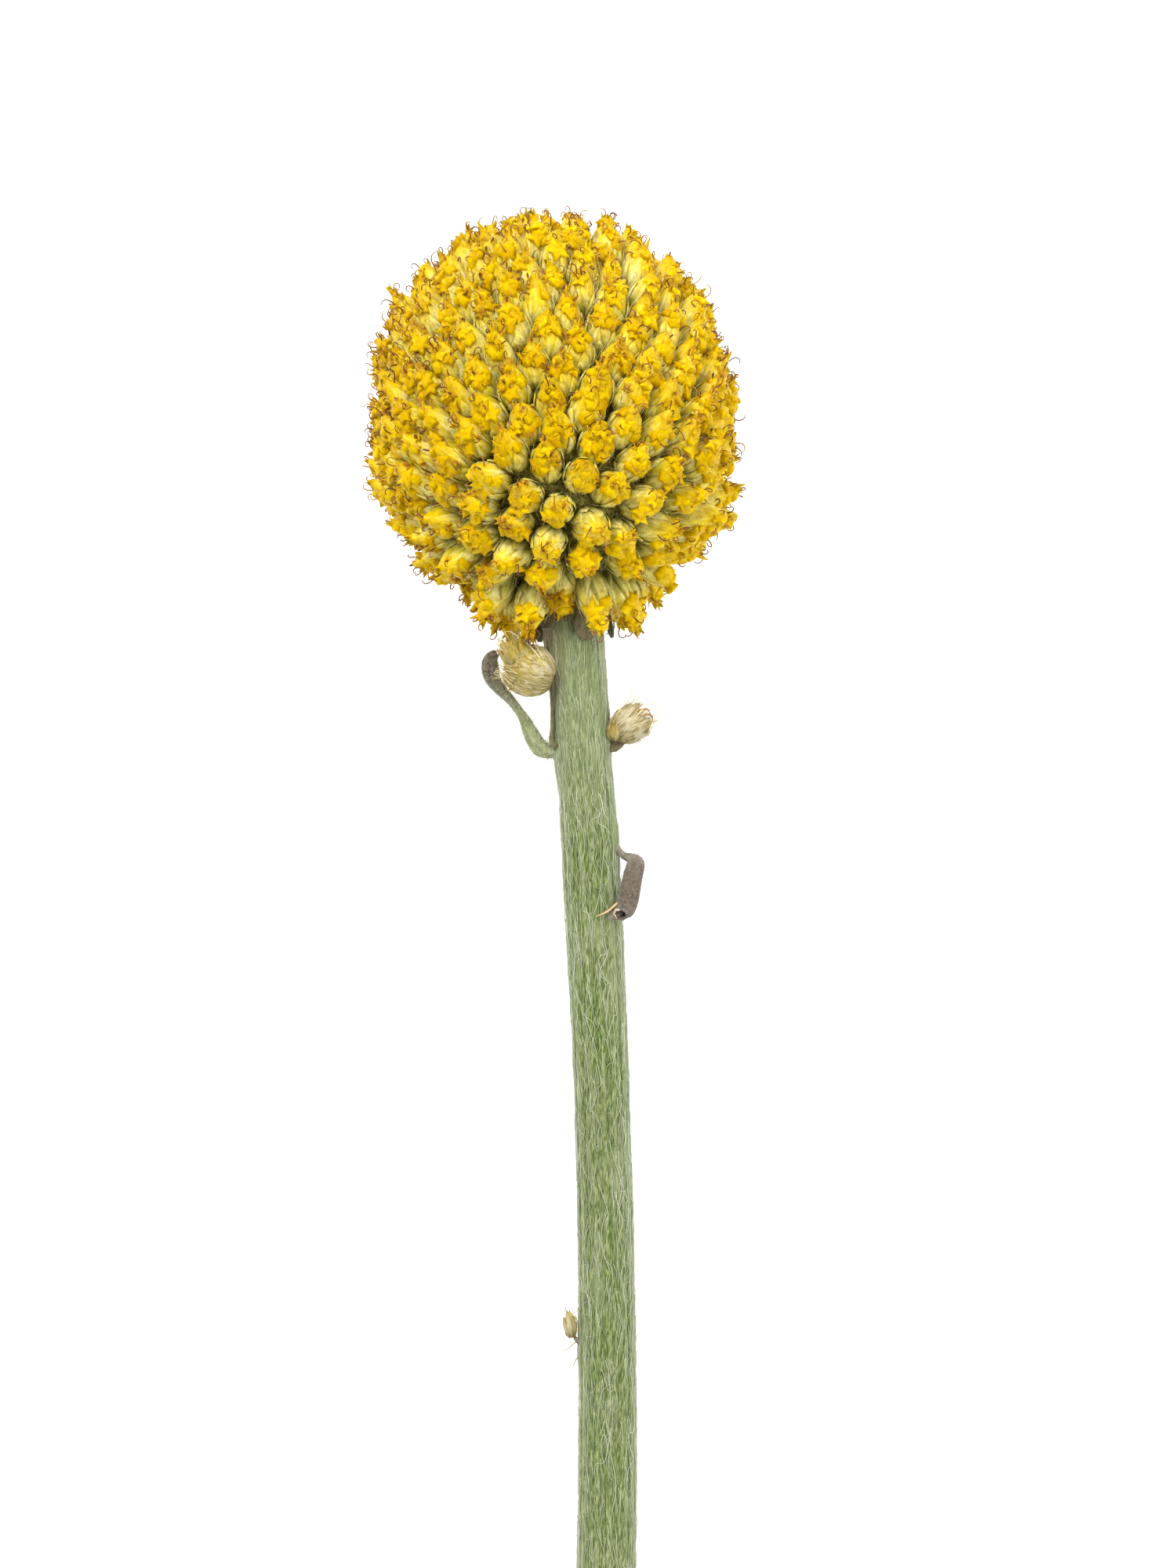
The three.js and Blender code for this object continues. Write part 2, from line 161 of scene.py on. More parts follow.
# %% [markdown]
# ## Frames and copies
#
# A small shape is worked out once, standing on the origin with its axis up. Its copies are placed by a frame
# of three unit vectors each: two across and one along. Hairs and stalks follow a path instead, and their
# rings stand square to it.

# %% Placing copies


def frames_along(axes, guide=(0.0, 1.0, 0.02)):
    """For each axis a 3 x 3 frame with the rows first, second, along, where first x second = along.

    first is square to the axis and to the guide."""
    along = unit(np.asarray(axes, float))
    first = unit(np.cross(np.broadcast_to(guide, along.shape), along))
    return np.stack([first, np.cross(along, first), along], -2)


def place(local, centres, frames):
    """Carries local points, copies x points x 3, to their centres: centre + x first + y second + z along."""
    return centres[:, None, :] + local @ frames


def turned(points, angles):
    """Turns copies x points x 3 about z, each copy by its own angle."""
    cos, sin = np.cos(angles)[:, None], np.sin(angles)[:, None]
    x, y = points[..., 0], points[..., 1]
    return np.stack([cos * x - sin * y, sin * x + cos * y, points[..., 2]], -1)


# %% Following paths


def round_paths(paths, radii, columns, guide):
    """Rings round each point of each path: point + radius (cos a first + sin a second).

    first is square to the path and to the guide, so the rings don't spin as the path turns."""
    along = unit(np.gradient(paths, axis=-2))
    first = unit(np.cross(np.broadcast_to(guide, along.shape), along))
    second = np.cross(along, first)
    angle = np.arange(columns) * 2 * np.pi / columns
    cos, sin = np.cos(angle)[:, None], np.sin(angle)[:, None]
    ring = cos * first[..., None, :] + sin * second[..., None, :]
    return paths[..., None, :] + radii[..., None, None] * ring


def make_strands(name, node, paths, radius, finish, guide=(0.3, 0.2, 1.0), thin=0.35, columns=3, tint=None):
    """Thin hairs along paths, ... x rows x 3, with as many sides as columns. Each narrows towards its tip.

    Its radius is radius * (1 - (1 - thin) s^2) at the share s of its length. tint is a number for all hairs
    or one for each. Without it each hair draws its own."""
    share = np.linspace(0, 1, paths.shape[-2])
    radii = np.broadcast_to(radius * (1 - (1 - thin) * share**2), paths.shape[:-1])
    if tint is None:
        tint = chance(np.arange(paths[..., 0, 0].size), 90).reshape(paths.shape[:-2])
    points = round_paths(paths, radii, columns, guide)
    make_tubes(name, node, points, finish, tint=np.asarray(tint)[..., None, None], along=share[:, None])


def smooth_path(stations, rows):
    """A Catmull-Rom curve through the stations, read at even steps of its length."""
    stations = np.asarray(stations, float)
    ends = [2 * stations[0] - stations[1], *stations, 2 * stations[-1] - stations[-2]]
    p0, p1, p2, p3 = (np.array(ends[k : len(ends) - 3 + k])[:, None] for k in range(4))
    t = np.linspace(0, 1, 24, endpoint=False)[None, :, None]
    square, cubic = 2 * p0 - 5 * p1 + 4 * p2 - p3, 3 * p1 - p0 - 3 * p2 + p3
    curve = 0.5 * (2 * p1 + (p2 - p0) * t + square * t**2 + cubic * t**3)
    curve = np.vstack([curve.reshape(-1, 3), stations[-1]])
    length = np.concatenate([[0], np.cumsum(np.linalg.norm(np.diff(curve, axis=0), axis=1))])
    even = np.linspace(0, length[-1], rows)
    return np.stack([np.interp(even, length, curve[:, k]) for k in range(3)], -1)


# %% [markdown]
# ## Finishes
#
# Petals and dry bracts are thin, so some light passes through them. The Principled shader's subsurface does
# that cheaply. Each copy carries a number called tint, which picks its place on a colour ramp, and a number
# called along, from 0 at its foot to 1 at its tip, which lets a bract be green below and yellow above.

# %% A new finish, and the numbers that it reads
THIN_SKIN = (1.0, 0.85, 0.25)  # how far red, green and blue light travel in yellow tissue, as shares
SHEEN_ROUGHNESS = 0.4


def colour(red, green, blue):
    """A colour from 0-255 screen values, as the linear values that a shader needs."""
    screen = np.array([red, green, blue]) / 255
    linear = np.where(screen <= 0.04045, screen / 12.92, ((screen + 0.055) / 1.055) ** 2.4)
    return (*linear.tolist(), 1.0)


def new_finish(name, roughness, subsurface=0.0, radius=0.4, sheen=0.0, specular=0.4, glint=(1, 1, 1, 1)):
    """A material with a Principled shader whose numbers are set on its own sockets.

    radius is how deep light travels in it, in mm, and glint colours what it mirrors."""
    finish = bpy.data.materials.new(name)
    finish.use_nodes = True
    shader = finish.node_tree.nodes["Principled BSDF"]
    shader.inputs["Roughness"].default_value = roughness
    shader.inputs["Specular IOR Level"].default_value = specular
    shader.inputs["Subsurface Weight"].default_value = subsurface
    shader.inputs["Subsurface Radius"].default_value = THIN_SKIN
    shader.inputs["Subsurface Scale"].default_value = radius * MM
    shader.inputs["Specular Tint"].default_value = glint
    shader.inputs["Sheen Weight"].default_value = sheen
    shader.inputs["Sheen Tint"].default_value = glint
    shader.inputs["Sheen Roughness"].default_value = SHEEN_ROUGHNESS
    print("finish", name)
    return finish, finish.node_tree, shader


def read(tree, label):
    """The piece's own attribute of that name, as a factor."""
    node = tree.nodes.new("ShaderNodeAttribute")
    node.attribute_name = label
    return node.outputs["Fac"]


# %% Noise and streaks


def noise_at(tree, spot, scale, detail, roughness):
    """Noise read at a spot that is stretched by the scale along its three axes."""
    mapping = tree.nodes.new("ShaderNodeMapping")
    mapping.inputs["Scale"].default_value = scale
    node = tree.nodes.new("ShaderNodeTexNoise")
    node.inputs["Scale"].default_value = 1.0
    node.inputs["Detail"].default_value = detail
    node.inputs["Roughness"].default_value = roughness
    tree.links.new(spot, mapping.inputs["Vector"])
    tree.links.new(mapping.outputs["Vector"], node.inputs["Vector"])
    return node.outputs["Fac"]


def noise(tree, size, stretch=(1, 1, 1), detail=3.0, roughness=0.55):
    """Noise with spots of that size in mm, stretched by that many times along X, Y and Z."""
    spot = tree.nodes.new("ShaderNodeTexCoord").outputs["Object"]
    return noise_at(tree, spot, [1 / (size * MM * s) for s in stretch], detail, roughness)


def streaks_of(tree, lines, along=0.7):
    """Noise drawn out along the piece: lines streaks from edge to edge, from its numbers across and along."""
    joined = tree.nodes.new("ShaderNodeCombineXYZ")
    tree.links.new(read(tree, "across"), joined.inputs[0])
    tree.links.new(read(tree, "along"), joined.inputs[1])
    return noise_at(tree, joined.outputs[0], (lines, along, 1), 3.0, 0.5)


# %% Ramps, mixes and bumps
WHITE = (255, 255, 255)


def ramp(tree, factor, *stops):
    """Colours along a factor: each stop is (place, red, green, blue)."""
    node = tree.nodes.new("ShaderNodeValToRGB")
    elements = node.color_ramp.elements
    while len(elements) < len(stops):
        elements.new(0.5)
    for element, (at, *shade) in zip(elements, stops):
        element.position = at
        element.color = colour(*shade)
    tree.links.new(factor, node.inputs["Fac"])
    return node.outputs["Color"]


def black_to_white(tree, factor, low, high):
    """0 below low, 1 above high, and even between."""
    return ramp(tree, factor, (low, 0, 0, 0), (high, *WHITE))


def mixed(tree, factor, first, second, blend="MIX"):
    """first where the factor is 0 and second where it is 1. Each may be a socket or a colour."""
    node = tree.nodes.new("ShaderNodeMix")
    node.data_type = "RGBA"
    node.blend_type = blend
    for socket, value in ((node.inputs[0], factor), (node.inputs[6], first), (node.inputs[7], second)):
        if isinstance(value, bpy.types.NodeSocket):
            tree.links.new(value, socket)
        else:
            socket.default_value = value
    return node.outputs[2]


def shaded_by(tree, base, shade):
    """One colour darkened by another: their product."""
    return mixed(tree, 1.0, base, shade, "MULTIPLY")


def bumped(tree, shader, height, depth, strength=1.0):
    """Bump of that depth in mm from a height that runs from 0 to 1."""
    node = tree.nodes.new("ShaderNodeBump")
    node.inputs["Distance"].default_value = depth * MM
    node.inputs["Strength"].default_value = strength
    tree.links.new(height, node.inputs["Height"])
    tree.links.new(node.outputs["Normal"], shader.inputs["Normal"])


# %% Finish of the open florets, buds and withered florets
GOLD_GLINT = (1.0, 0.8, 0.12, 1.0)


def floret_finish(name, roughness, throat, *tints):
    """Tints from the copy's own number, turned to the throat colour where along is low.

    That is at the foot, in the middle and in the creases between the lobes: partly the throat's own orange
    and partly painted shade.
    """
    finish, tree, shader = new_finish(
        name, roughness, subsurface=0.12, radius=0.3, specular=0.25, glint=GOLD_GLINT
    )
    tinted = ramp(tree, read(tree, "tint"), *tints)
    # partly the throat's own orange and partly painted shade, where along is low
    throat_and_painted_shade = mixed(tree, black_to_white(tree, read(tree, "along"), 0.3, 0.92), colour(*throat), tinted)
    mottle = ramp(tree, noise(tree, 0.25), (0.3, 224, 210, 170), (0.62, *WHITE))
    tree.links.new(shaded_by(tree, throat_and_painted_shade, mottle), shader.inputs["Base Color"])
    bumped(tree, shader, noise(tree, 0.12), 0.03, 0.6)
    return finish


open_petal = floret_finish(
    "open_petal", 0.5, (204, 150, 0), (0.0, 244, 212, 12), (0.5, 216, 181, 0), (1.0, 192, 152, 0)
)
closed_petal = floret_finish(
    "closed_petal", 0.45, (186, 158, 0), (0.0, 236, 202, 0), (0.6, 217, 183, 0), (1.0, 192, 158, 4)
)
withered_petal = floret_finish(
    "withered_petal", 0.65, (172, 120, 32), (0.0, 230, 192, 8), (0.5, 214, 172, 22), (1.0, 186, 148, 52)
)

# %% Finish of the silky bracts
PEARL_GLINT = (1.0, 0.9, 0.38, 1.0)
SKIN = (
    (0.25, 96, 92, 34),
    (0.45, 156, 148, 48),
    (0.62, 202, 186, 46),
    (0.8, 228, 196, 0),
    (0.98, 220, 178, 0),
)
# painted highlight: the pale cream colours that the bracts' streaks turn to stand in for the silk's sheen
PAINTED_HIGHLIGHT = (
    (0.25, 122, 118, 60),
    (0.45, 206, 200, 118),
    (0.62, 250, 244, 172),
    (0.84, 244, 220, 60),
    (1.0, 224, 184, 0),
)


def silky_bract_finish():
    """Olive at the foot, clear yellow further up, with broad pale streaks along the bract that are painted
    highlights, standing in for the silk's sheen.

    The painted highlights are narrow on a bract with a low tint and broad on one with a high tint."""
    finish, tree, shader = new_finish("silky_bract", 0.35, subsurface=0.25, radius=0.5, glint=PEARL_GLINT)
    skin = ramp(tree, read(tree, "along"), *SKIN)
    painted_highlight = ramp(tree, read(tree, "along"), *PAINTED_HIGHLIGHT)
    streaks = streaks_of(tree, 2.4)
    # painted highlight: the streaks turn to the pale colours, narrowly or broadly by the tint
    plain = mixed(tree, black_to_white(tree, streaks, 0.48, 0.72), skin, painted_highlight)
    silvery = mixed(tree, black_to_white(tree, streaks, 0.34, 0.62), skin, painted_highlight)
    base = mixed(tree, black_to_white(tree, read(tree, "tint"), 0.3, 0.7), plain, silvery)
    mottle = ramp(tree, noise(tree, 0.4, detail=4.0), (0.3, 214, 204, 160), (0.55, *WHITE))
    tree.links.new(shaded_by(tree, base, mottle), shader.inputs["Base Color"])
    bumped(tree, shader, streaks_of(tree, 6.0), 0.04, 0.5)
    return finish


silky_bract = silky_bract_finish()

# %% Finishes of the hairs


def plain_finish(name, roughness, *tints, **more):
    """Colours picked by the copy's own number, for hairs and other slim things."""
    finish, tree, shader = new_finish(name, roughness, **more)
    tree.links.new(ramp(tree, read(tree, "tint"), *tints), shader.inputs["Base Color"])
    return finish


silk = plain_finish("silk", 0.3, (0.0, 206, 190, 84), (1.0, 248, 240, 186), specular=0.6)
brown_style = plain_finish("brown_style", 0.5, (0.0, 90, 46, 20), (0.5, 136, 80, 30), (1.0, 188, 134, 52))
grey_wool = plain_finish("grey_wool", 0.8, (0.0, 120, 114, 44), (1.0, 198, 190, 130))

# %% [markdown]
# ## Where the small heads stand
#
# The places follow a golden-angle spiral, as the florets of most daisies do, from the top of the globe down
# to the stem. Each is then moved a little by chance, and near ones push each other apart until the globe is
# evenly packed. Places drawn by chance alone would leave holes and heaps. One place points straight down,
# where the globe rests on the surface.

# %% The stem's centreline, which the globe's tilt comes from
HEAD_WIDTH, HEAD_LENGTH, HEAD_SLIMMING, HEAD_REST_HEIGHT = 27.0, 29.4, 0.05, 12.7
CORE_SHARE = 0.71
STEM_RADIUS, STEM_RIB, STEM_TOP, STEM_END, STEM_PRESSED = 1.95, 0.06, 7.1, 104.0, 0.1
BOW_SIDE, BOW_BELOW, BOW_RATE = 3.7, 69.0, 0.000785
SWELL_SHARE, SWELL_BELOW, SWELL_LENGTH = 0.03, 18.0, 62.0


def stem_point(below):
    """The centreline at distances below the globe's centre.

    It bows by x = 3.7 - 0.000785 (below - 69)^2 and drops evenly."""
    below = np.asarray(below, float)
    height = between(HEAD_REST_HEIGHT, STEM_RADIUS - STEM_PRESSED, below / STEM_END)
    return np.stack([BOW_SIDE - BOW_RATE * (below - BOW_BELOW) ** 2, -below, height], -1)


def stem_girth(below):
    """The stem's radius over its ribs: it swells by 3 percent in waves 62 mm long."""
    swell = SWELL_SHARE * np.cos(2 * np.pi * (below - SWELL_BELOW) / SWELL_LENGTH)
    return STEM_RADIUS * (1 + swell) + STEM_RIB


def beside_stem(below, out, raised):
    """A point out to the side of the centreline and raised above it."""
    return stem_point(below) + np.stack(np.broadcast_arrays(out, 0.0, raised), -1)


def paths_beside(routes, rows):
    """Smooth paths beside the stem, each through its own stations (below, out, raised)."""
    return np.array([smooth_path(beside_stem(*np.array(stations).T), rows) for stations in routes])


head_centre = np.array([0, 0, HEAD_REST_HEIGHT])
stemwards = unit(stem_point(CORE_SHARE * HEAD_LENGTH / 2) - head_centre)
head_turn = np.array(Vector((0, -1, 0)).rotation_difference(Vector(stemwards)).to_matrix())
print("the stem leaves the globe towards", stemwards.round(3))

# %% The small heads' directions
BUTTON_PLACES, STEM_CLEARING = 310, np.radians(19.5)
PLACE_JITTER, EVENING_ROUNDS, EVENING_PUSH = 0.25, 10, 0.08
GOLDEN_TURN = np.pi * (3 - np.sqrt(5))
OUT_OF_REACH = 9.0  # steps; a place keeps this far from itself, so that it doesn't push itself


def button_directions():
    """Unit directions in the globe's own frame, where +Y points away from the stem.

    Place i has height 1 - (2i + 1) / N and is turned by the golden angle from the one before. Near ones then
    push each other apart by 0.08 (2 - s) / s^3 of the way between them, where s is that way in steps."""
    downwards = np.array([0, 0, -1]) @ head_turn
    lowest = int(np.round(((1 - downwards[1]) * BUTTON_PLACES - 1) / 2))
    i = np.arange(BUTTON_PLACES)
    height = 1 - (2 * i + 1) / BUTTON_PLACES
    i = i[height > -np.cos(STEM_CLEARING)]
    height = height[i]
    angle = (i - lowest) * GOLDEN_TURN + np.arctan2(downwards[2], downwards[0])
    ring = np.sqrt(1 - height**2)
    step = np.sqrt(4 * np.pi / BUTTON_PLACES)
    places = np.stack([ring * np.cos(angle), height, ring * np.sin(angle)], -1)
    places = unit(places + PLACE_JITTER * step * swing_3d(i, 1))
    places[lowest] = downwards
    for _ in range(EVENING_ROUNDS):
        away = places[:, None] - places[None]
        steps = np.linalg.norm(away, axis=-1) / step + OUT_OF_REACH * np.eye(len(places))
        push = np.where(steps < 2, EVENING_PUSH * (2 - steps) / steps**3, 0)
        places = unit(places + (push[..., None] * away).sum(1))
        places[lowest] = downwards
        near = places[:, 1] < -np.cos(STEM_CLEARING)
        places[near, 1] = 0
        places[near] = unit(places[near]) * np.sin(STEM_CLEARING)
        places[near, 1] = -np.cos(STEM_CLEARING)
    return places, lowest


directions, lowest = button_directions()
BUTTONS = len(directions)
button = np.arange(BUTTONS)
sideways, endways = directions[:, 0], directions[:, 1]
print(BUTTONS, "small heads")

# %% The room that each small head has
UNEVENNESS = 0.045
BELLY_SHARE, NEIGHBOURS = 0.885, 4  # where a small head is widest, and how many stand next to it
FAR_AWAY = 99  # mm; added to each head's distance from itself


def on_head(directions, share):
    """Carries unit directions to the globe at a share of its size, in the object's frame."""
    slim = 1 - HEAD_SLIMMING * np.sin(np.pi * np.maximum(0, directions[..., 1]))
    radii = np.stack([slim * HEAD_WIDTH / 2, np.full(slim.shape, HEAD_LENGTH / 2), slim * HEAD_WIDTH / 2], -1)
    return head_centre + (directions * radii * np.asarray(share)[..., None]) @ head_turn.T


reach = np.where(button == lowest, 1.0, 1 - UNEVENNESS * chance(button, 5))
belly_points = on_head(directions, BELLY_SHARE * reach)
apart = np.linalg.norm(belly_points[:, None] - belly_points[None], axis=-1) + FAR_AWAY * np.eye(BUTTONS)
room = np.sort(apart, axis=1)[:, :NEIGHBOURS].mean(1) / 2
print("mean room", room.mean().round(3), "mm")

# %% [markdown]
# Each small head is an egg on its narrow end. Its foot is on the woolly core and its tip at the globe's
# outline. The tips lean away from the stem, as growing heads reach for the light. So the globe shows more of
# the bracts in its upper half, and each head turns its freshest florets to the side of the stem.

# %% Feet and tips of the small heads
FOOT_SINK = 0.02  # how deep a foot stands in the core, as a share of the globe
LEAN, STRAY, RISE = 1.5, 0.35, 0.15  # how far a tip leans from the stem, strays sideways and rises, in mm
NECK_FROM, NECK_FULL, NECK_REACH = 0.8, 0.94, 1.2  # the lowest ones hang down round the neck instead
NECK_OPEN_AT, NECK_OPEN_WIDTH = 0.4, 0.9  # mm to the right, where the stem's top shows between them
LEFT_LIMIT, RIGHT_LIMIT, CROWN = -13.2, 13.0, 0.5  # mm: how far out tips may stand, and the crown's rise
feet = on_head(directions, np.full(BUTTONS, CORE_SHARE - FOOT_SINK))
tips = on_head(directions, reach)
upwards = -stemwards
axis = unit(tips - feet)
lean = upwards - (axis @ upwards)[:, None] * axis
hanging = np.clip((-endways[:, None] - NECK_FROM) / (NECK_FULL - NECK_FROM), 0, 1)
in_front = bell(tips[:, :1], NECK_OPEN_AT, NECK_OPEN_WIDTH) * (tips[:, 2:] > HEAD_REST_HEIGHT)
droop = NECK_REACH * hanging * (1 - in_front) * between(0.7, 1.1, chance(button, 20))[:, None] * stemwards
feet = feet + 0.6 * droop
# Those just below the globe's middle lean nearly twice as far.
further = 1 + 0.9 * bell(endways[:, None], -0.35, 0.3)
# The globe is broader at its shoulders, and low on its right side.
broader = 0.42 + 1.2 * bell(endways, 0.6, 0.3)
broader = broader + 0.7 * (sideways > 0) * bell(endways, -0.68, 0.15)
tips = tips + LEAN * further * (1 - hanging) * lean + droop
tips[:, 0] = np.clip(tips[:, 0] + broader * sideways, LEFT_LIMIT, RIGHT_LIMIT)
tips = tips + CROWN * np.clip(endways[:, None], 0, 1) ** 2 * upwards
tips = tips + STRAY * swing_3d(button, 21) + RISE * swing(button, 19)[:, None] * axis
tall = np.linalg.norm(tips - feet, axis=1)
print("mean height", tall.mean().round(2), "mm")

# %% Girth, turn, age and bend of the small heads
WIDEST_BELLY = 1.22
BEND = 1.2  # mm that a tip curves away from the stem, on top of its lean
button_frames = frames_along(tips - feet)
belly = np.minimum(WIDEST_BELLY, room * 0.96) * (1 + 0.09 * swing(button, 18))
turn = 2 * np.pi * chance(button, 4)
up_turn = np.arctan2(button_frames[:, 1] @ upwards, button_frames[:, 0] @ upwards)
bend = BEND * (1 - hanging[:, 0]) * np.linalg.norm(lean, axis=1) * between(0.7, 1.3, chance(button, 16))
bend_towards = round_axis(1, up_turn, 0.0)
# Flowering went furthest on the upper left side and in a patch low on the left, and least at the top right.
old_side = directions @ unit(np.array([-0.6, 0.55, -0.1]))
old_patch = np.exp(-((directions - np.array([-0.4, -0.85, 0.3])) ** 2).sum(1) / 0.18)
fresh_top = np.clip((endways - 0.3) / 0.4, 0, 1) * np.clip(0.6 + sideways / 0.5, 0, 1)
age = np.clip(0.45 + 0.4 * old_side + 0.6 * old_patch - 0.4 * fresh_top + 0.25 * swing(button, 6), 0, 1)
print("mean belly", belly.mean().round(2), "mm, mean age", age.mean().round(2))


def egg(share):
    """Girth of an egg with a drawn-out tip, widest below half the small head's height.

    It is cos(pi (s - 0.45) / 1.2)^1.2 at the share s of the height."""
    return np.cos(np.pi * np.clip(share - 0.45, -0.6, 0.59) / 1.2) ** 1.2


def set_up(local):
    """Carries points of every small head, heads x ... x 3 with the height along z, to the globe.

    They curve sideways by bend (z / tall)^2."""
    points = local.reshape(BUTTONS, -1, 3)
    share = points[..., 2:] / tall[:, None, None]
    curved = points + bend[:, None, None] * share**2 * bend_towards[:, None, :]
    return place(curved, feet, button_frames).reshape(local.shape)


# %% [markdown]
# ## Woolly core and egg-shaped bodies
#
# Between the small heads one looks down on the core, which is dark and woolly. It is a lumpy ball. Each
# small head has a plain body under its bracts, so no light shows between them. Real ones are full of more
# bracts, which nobody sees.

# %% Build the core
CORE_ROWS, CORE_COLUMNS, CORE_WAVES = 41, 80, 6
CORE_COVER, CORE_LUMP = 0.07, 0.02  # how far the wool covers the feet, and its lumps, as shares of the globe


def lumpy_ball(rows, columns):
    """Directions on a grid of heights and turns, and lumps as a sum of waves across them."""
    polar = np.linspace(0.02, np.pi - 0.02, rows)[:, None]
    around = np.linspace(0, 2 * np.pi, columns, endpoint=False)[None, :]
    ring = np.sin(polar)
    grid = np.stack(np.broadcast_arrays(ring * np.cos(around), -np.cos(polar), -ring * np.sin(around)), -1)
    wave = np.arange(CORE_WAVES)
    headings = unit(swing_3d(wave, 31))
    return grid, np.sin((grid @ headings.T) * (14 + 5 * wave) + wave).mean(-1)


def core_finish():
    """Dark olive wool."""
    finish, tree, shader = new_finish("core_wool", 0.95, specular=0.1)
    fluff = noise(tree, 0.25, detail=6.0, roughness=0.7)
    tree.links.new(ramp(tree, fluff, (0.38, 64, 58, 18), (0.64, 150, 142, 72)), shader.inputs["Base Color"])
    bumped(tree, shader, noise(tree, 0.18, detail=5.0), 0.15)
    return finish


ball, lumps = lumpy_ball(CORE_ROWS, CORE_COLUMNS)
core_skin = on_head(ball, CORE_SHARE + CORE_COVER + CORE_LUMP * lumps)
make_tubes("head_core", "flower_head", core_skin, core_finish())

# %% Build the bodies
BODY_ROWS, BODY_COLUMNS, BODY_GIRTH = 12, 16, 0.95
freshest_turn = up_turn + np.pi * (hanging[:, 0] < 0.1)


def freshness(angle):
    """1 on the side with the fresh florets and 0 on the other: 0.5 + 0.5 cos(angle - the side's own turn).

    The angles come with the small head's number first."""
    return 0.5 + 0.5 * np.cos(angle - freshest_turn.reshape(-1, *[1] * (angle.ndim - 1)))


def bodies():
    """Eggs: ring r stands at height tall s and has the radius 0.95 belly egg(s), ruffled above the belly.

    The ruffles are two products of waves, one across and one along."""
    share = np.linspace(0.1, 0.95, BODY_ROWS)[None, :, None]
    around = np.arange(BODY_COLUMNS)[None, None, :] * 2 * np.pi / BODY_COLUMNS
    phase = 6 * chance(button, 17)[:, None, None]
    ruffle = np.sin(5 * around + phase + 9 * share) * np.sin(17 * share + 2 * phase)
    ruffle = ruffle + 0.7 * np.sin(7 * around - 2 * phase + 5 * share) * np.sin(29 * share + phase)
    ruffle = ruffle * np.clip(5 * share - 2.6, 0, 2)
    radius = BODY_GIRTH * belly[:, None, None] * egg(share) * (1 + 0.1 * ruffle)
    points = set_up(round_axis(radius, around, tall[:, None, None] * share))
    # painted shade: along also follows the ruffles, so their troughs are painted more olive and their crests
    # more yellow. It is higher on the side of the fresh florets.
    return points, share + 0.1 * freshness(around) + 0.06 * ruffle


body_points, body_along = bodies()
make_tubes(
    "button_bodies",
    "flower_head",
    body_points,
    silky_bract,
    along=body_along,
    across=4 - np.abs(np.arange(BODY_COLUMNS) - BODY_COLUMNS / 2) * 0.6,
    # painted highlight: bodies towards the top and the underside of the globe get broader painted highlights
    tint=(0.5 * chance(button, 24) + 0.4 * np.abs(endways))[:, None, None],
)

# %% [markdown]
# ## Silky bracts
#
# Seven broad bracts clasp each small head: two short ones outside and five long ones inside. A bract is a
# flat tube with six sides: four points in front that follow the egg's girth and two behind. It is so broad
# that its edges lie over its neighbours', and its pointed tip stands a little away from the egg.

# %% Build the bracts
BRACTS, OUTER_BRACTS, BRACT_ROWS = 7, 2, 6
BRACT_ACROSS = np.array([-1, -0.4, 0.4, 1, 0.4, -0.4])  # each point's place from edge to edge
BRACT_LIFT = np.array([-0.01, 0.03, 0.03, -0.01, -0.06, -0.06])  # mm that it stands out
bract = np.arange(BRACTS)
inner = bract >= OUTER_BRACTS
bract_id = button[:, None] * BRACTS + bract[None, :]
bract_length = np.where(inner, 0.72, 0.56)[None, :] * between(0.86, 1.07, chance(bract_id, 25))
bract_angle = np.where(inner, (bract - 2) / 5 + 0.07, bract / 2)[None, :] * 2 * np.pi
bract_angle = turn[:, None] + bract_angle + 0.16 * swing(bract_id, 26)
bract_half = between(0.62, 0.8, chance(bract_id, 27)) * (belly / 1.2)[:, None]


def bracts():
    """At share s the edges lie half sin(pi (0.12 + 0.8 s))^0.7 (1 - s^7) to either side, round the egg.

    All lie 0.03 mm off it and outer ones 0.03 mm more, and a tip stands off by up to 0.14 s^4 mm."""
    s = np.linspace(0.05, 0.98, BRACT_ROWS)[None, None, :]
    up = bract_length[..., None] * s
    off = 0.03 + 0.03 * (~inner)[None, :, None] + between(0.0, 0.14, chance(bract_id, 28))[..., None] * s**4
    radius = belly[:, None, None] * egg(up) + off
    half = bract_half[..., None] * np.sin(np.pi * (0.12 + 0.8 * s)) ** 0.7 * (1 - s**7)
    half = half / np.maximum(radius, 0.4)
    angle = bract_angle[..., None, None] + half[..., None] * BRACT_ACROSS
    local = round_axis(radius[..., None] + BRACT_LIFT, angle, (tall[:, None, None] * up)[..., None])
    return set_up(local), 1.05 * up[..., None] + 0.12 * freshness(angle)


bract_points, bract_along = bracts()
# painted highlight: bracts towards the top and the underside of the globe get broader painted highlights
painted_highlight_share = np.clip(chance(bract_id, 29) + 0.5 * np.abs(endways[:, None]), 0, 1)
make_tubes(
    "button_bracts",
    "flower_head",
    bract_points,
    silky_bract,
    along=bract_along,
    across=9.7 * chance(bract_id, 30)[..., None, None] + BRACT_ACROSS,
    tint=painted_highlight_share[..., None, None],
)

# %% [markdown]
# Fine silk lies on the bracts from half-way up to near their tips. It gives them their pale streaks, and it
# follows the egg's girth a little way off, so that it never sinks into a bract.

# %% Build the silk
SILKS, SILK_ROWS, SILK_RADIUS = 10, 5, 0.02
silk_id = button[:, None] * SILKS + np.arange(SILKS)[None, :]


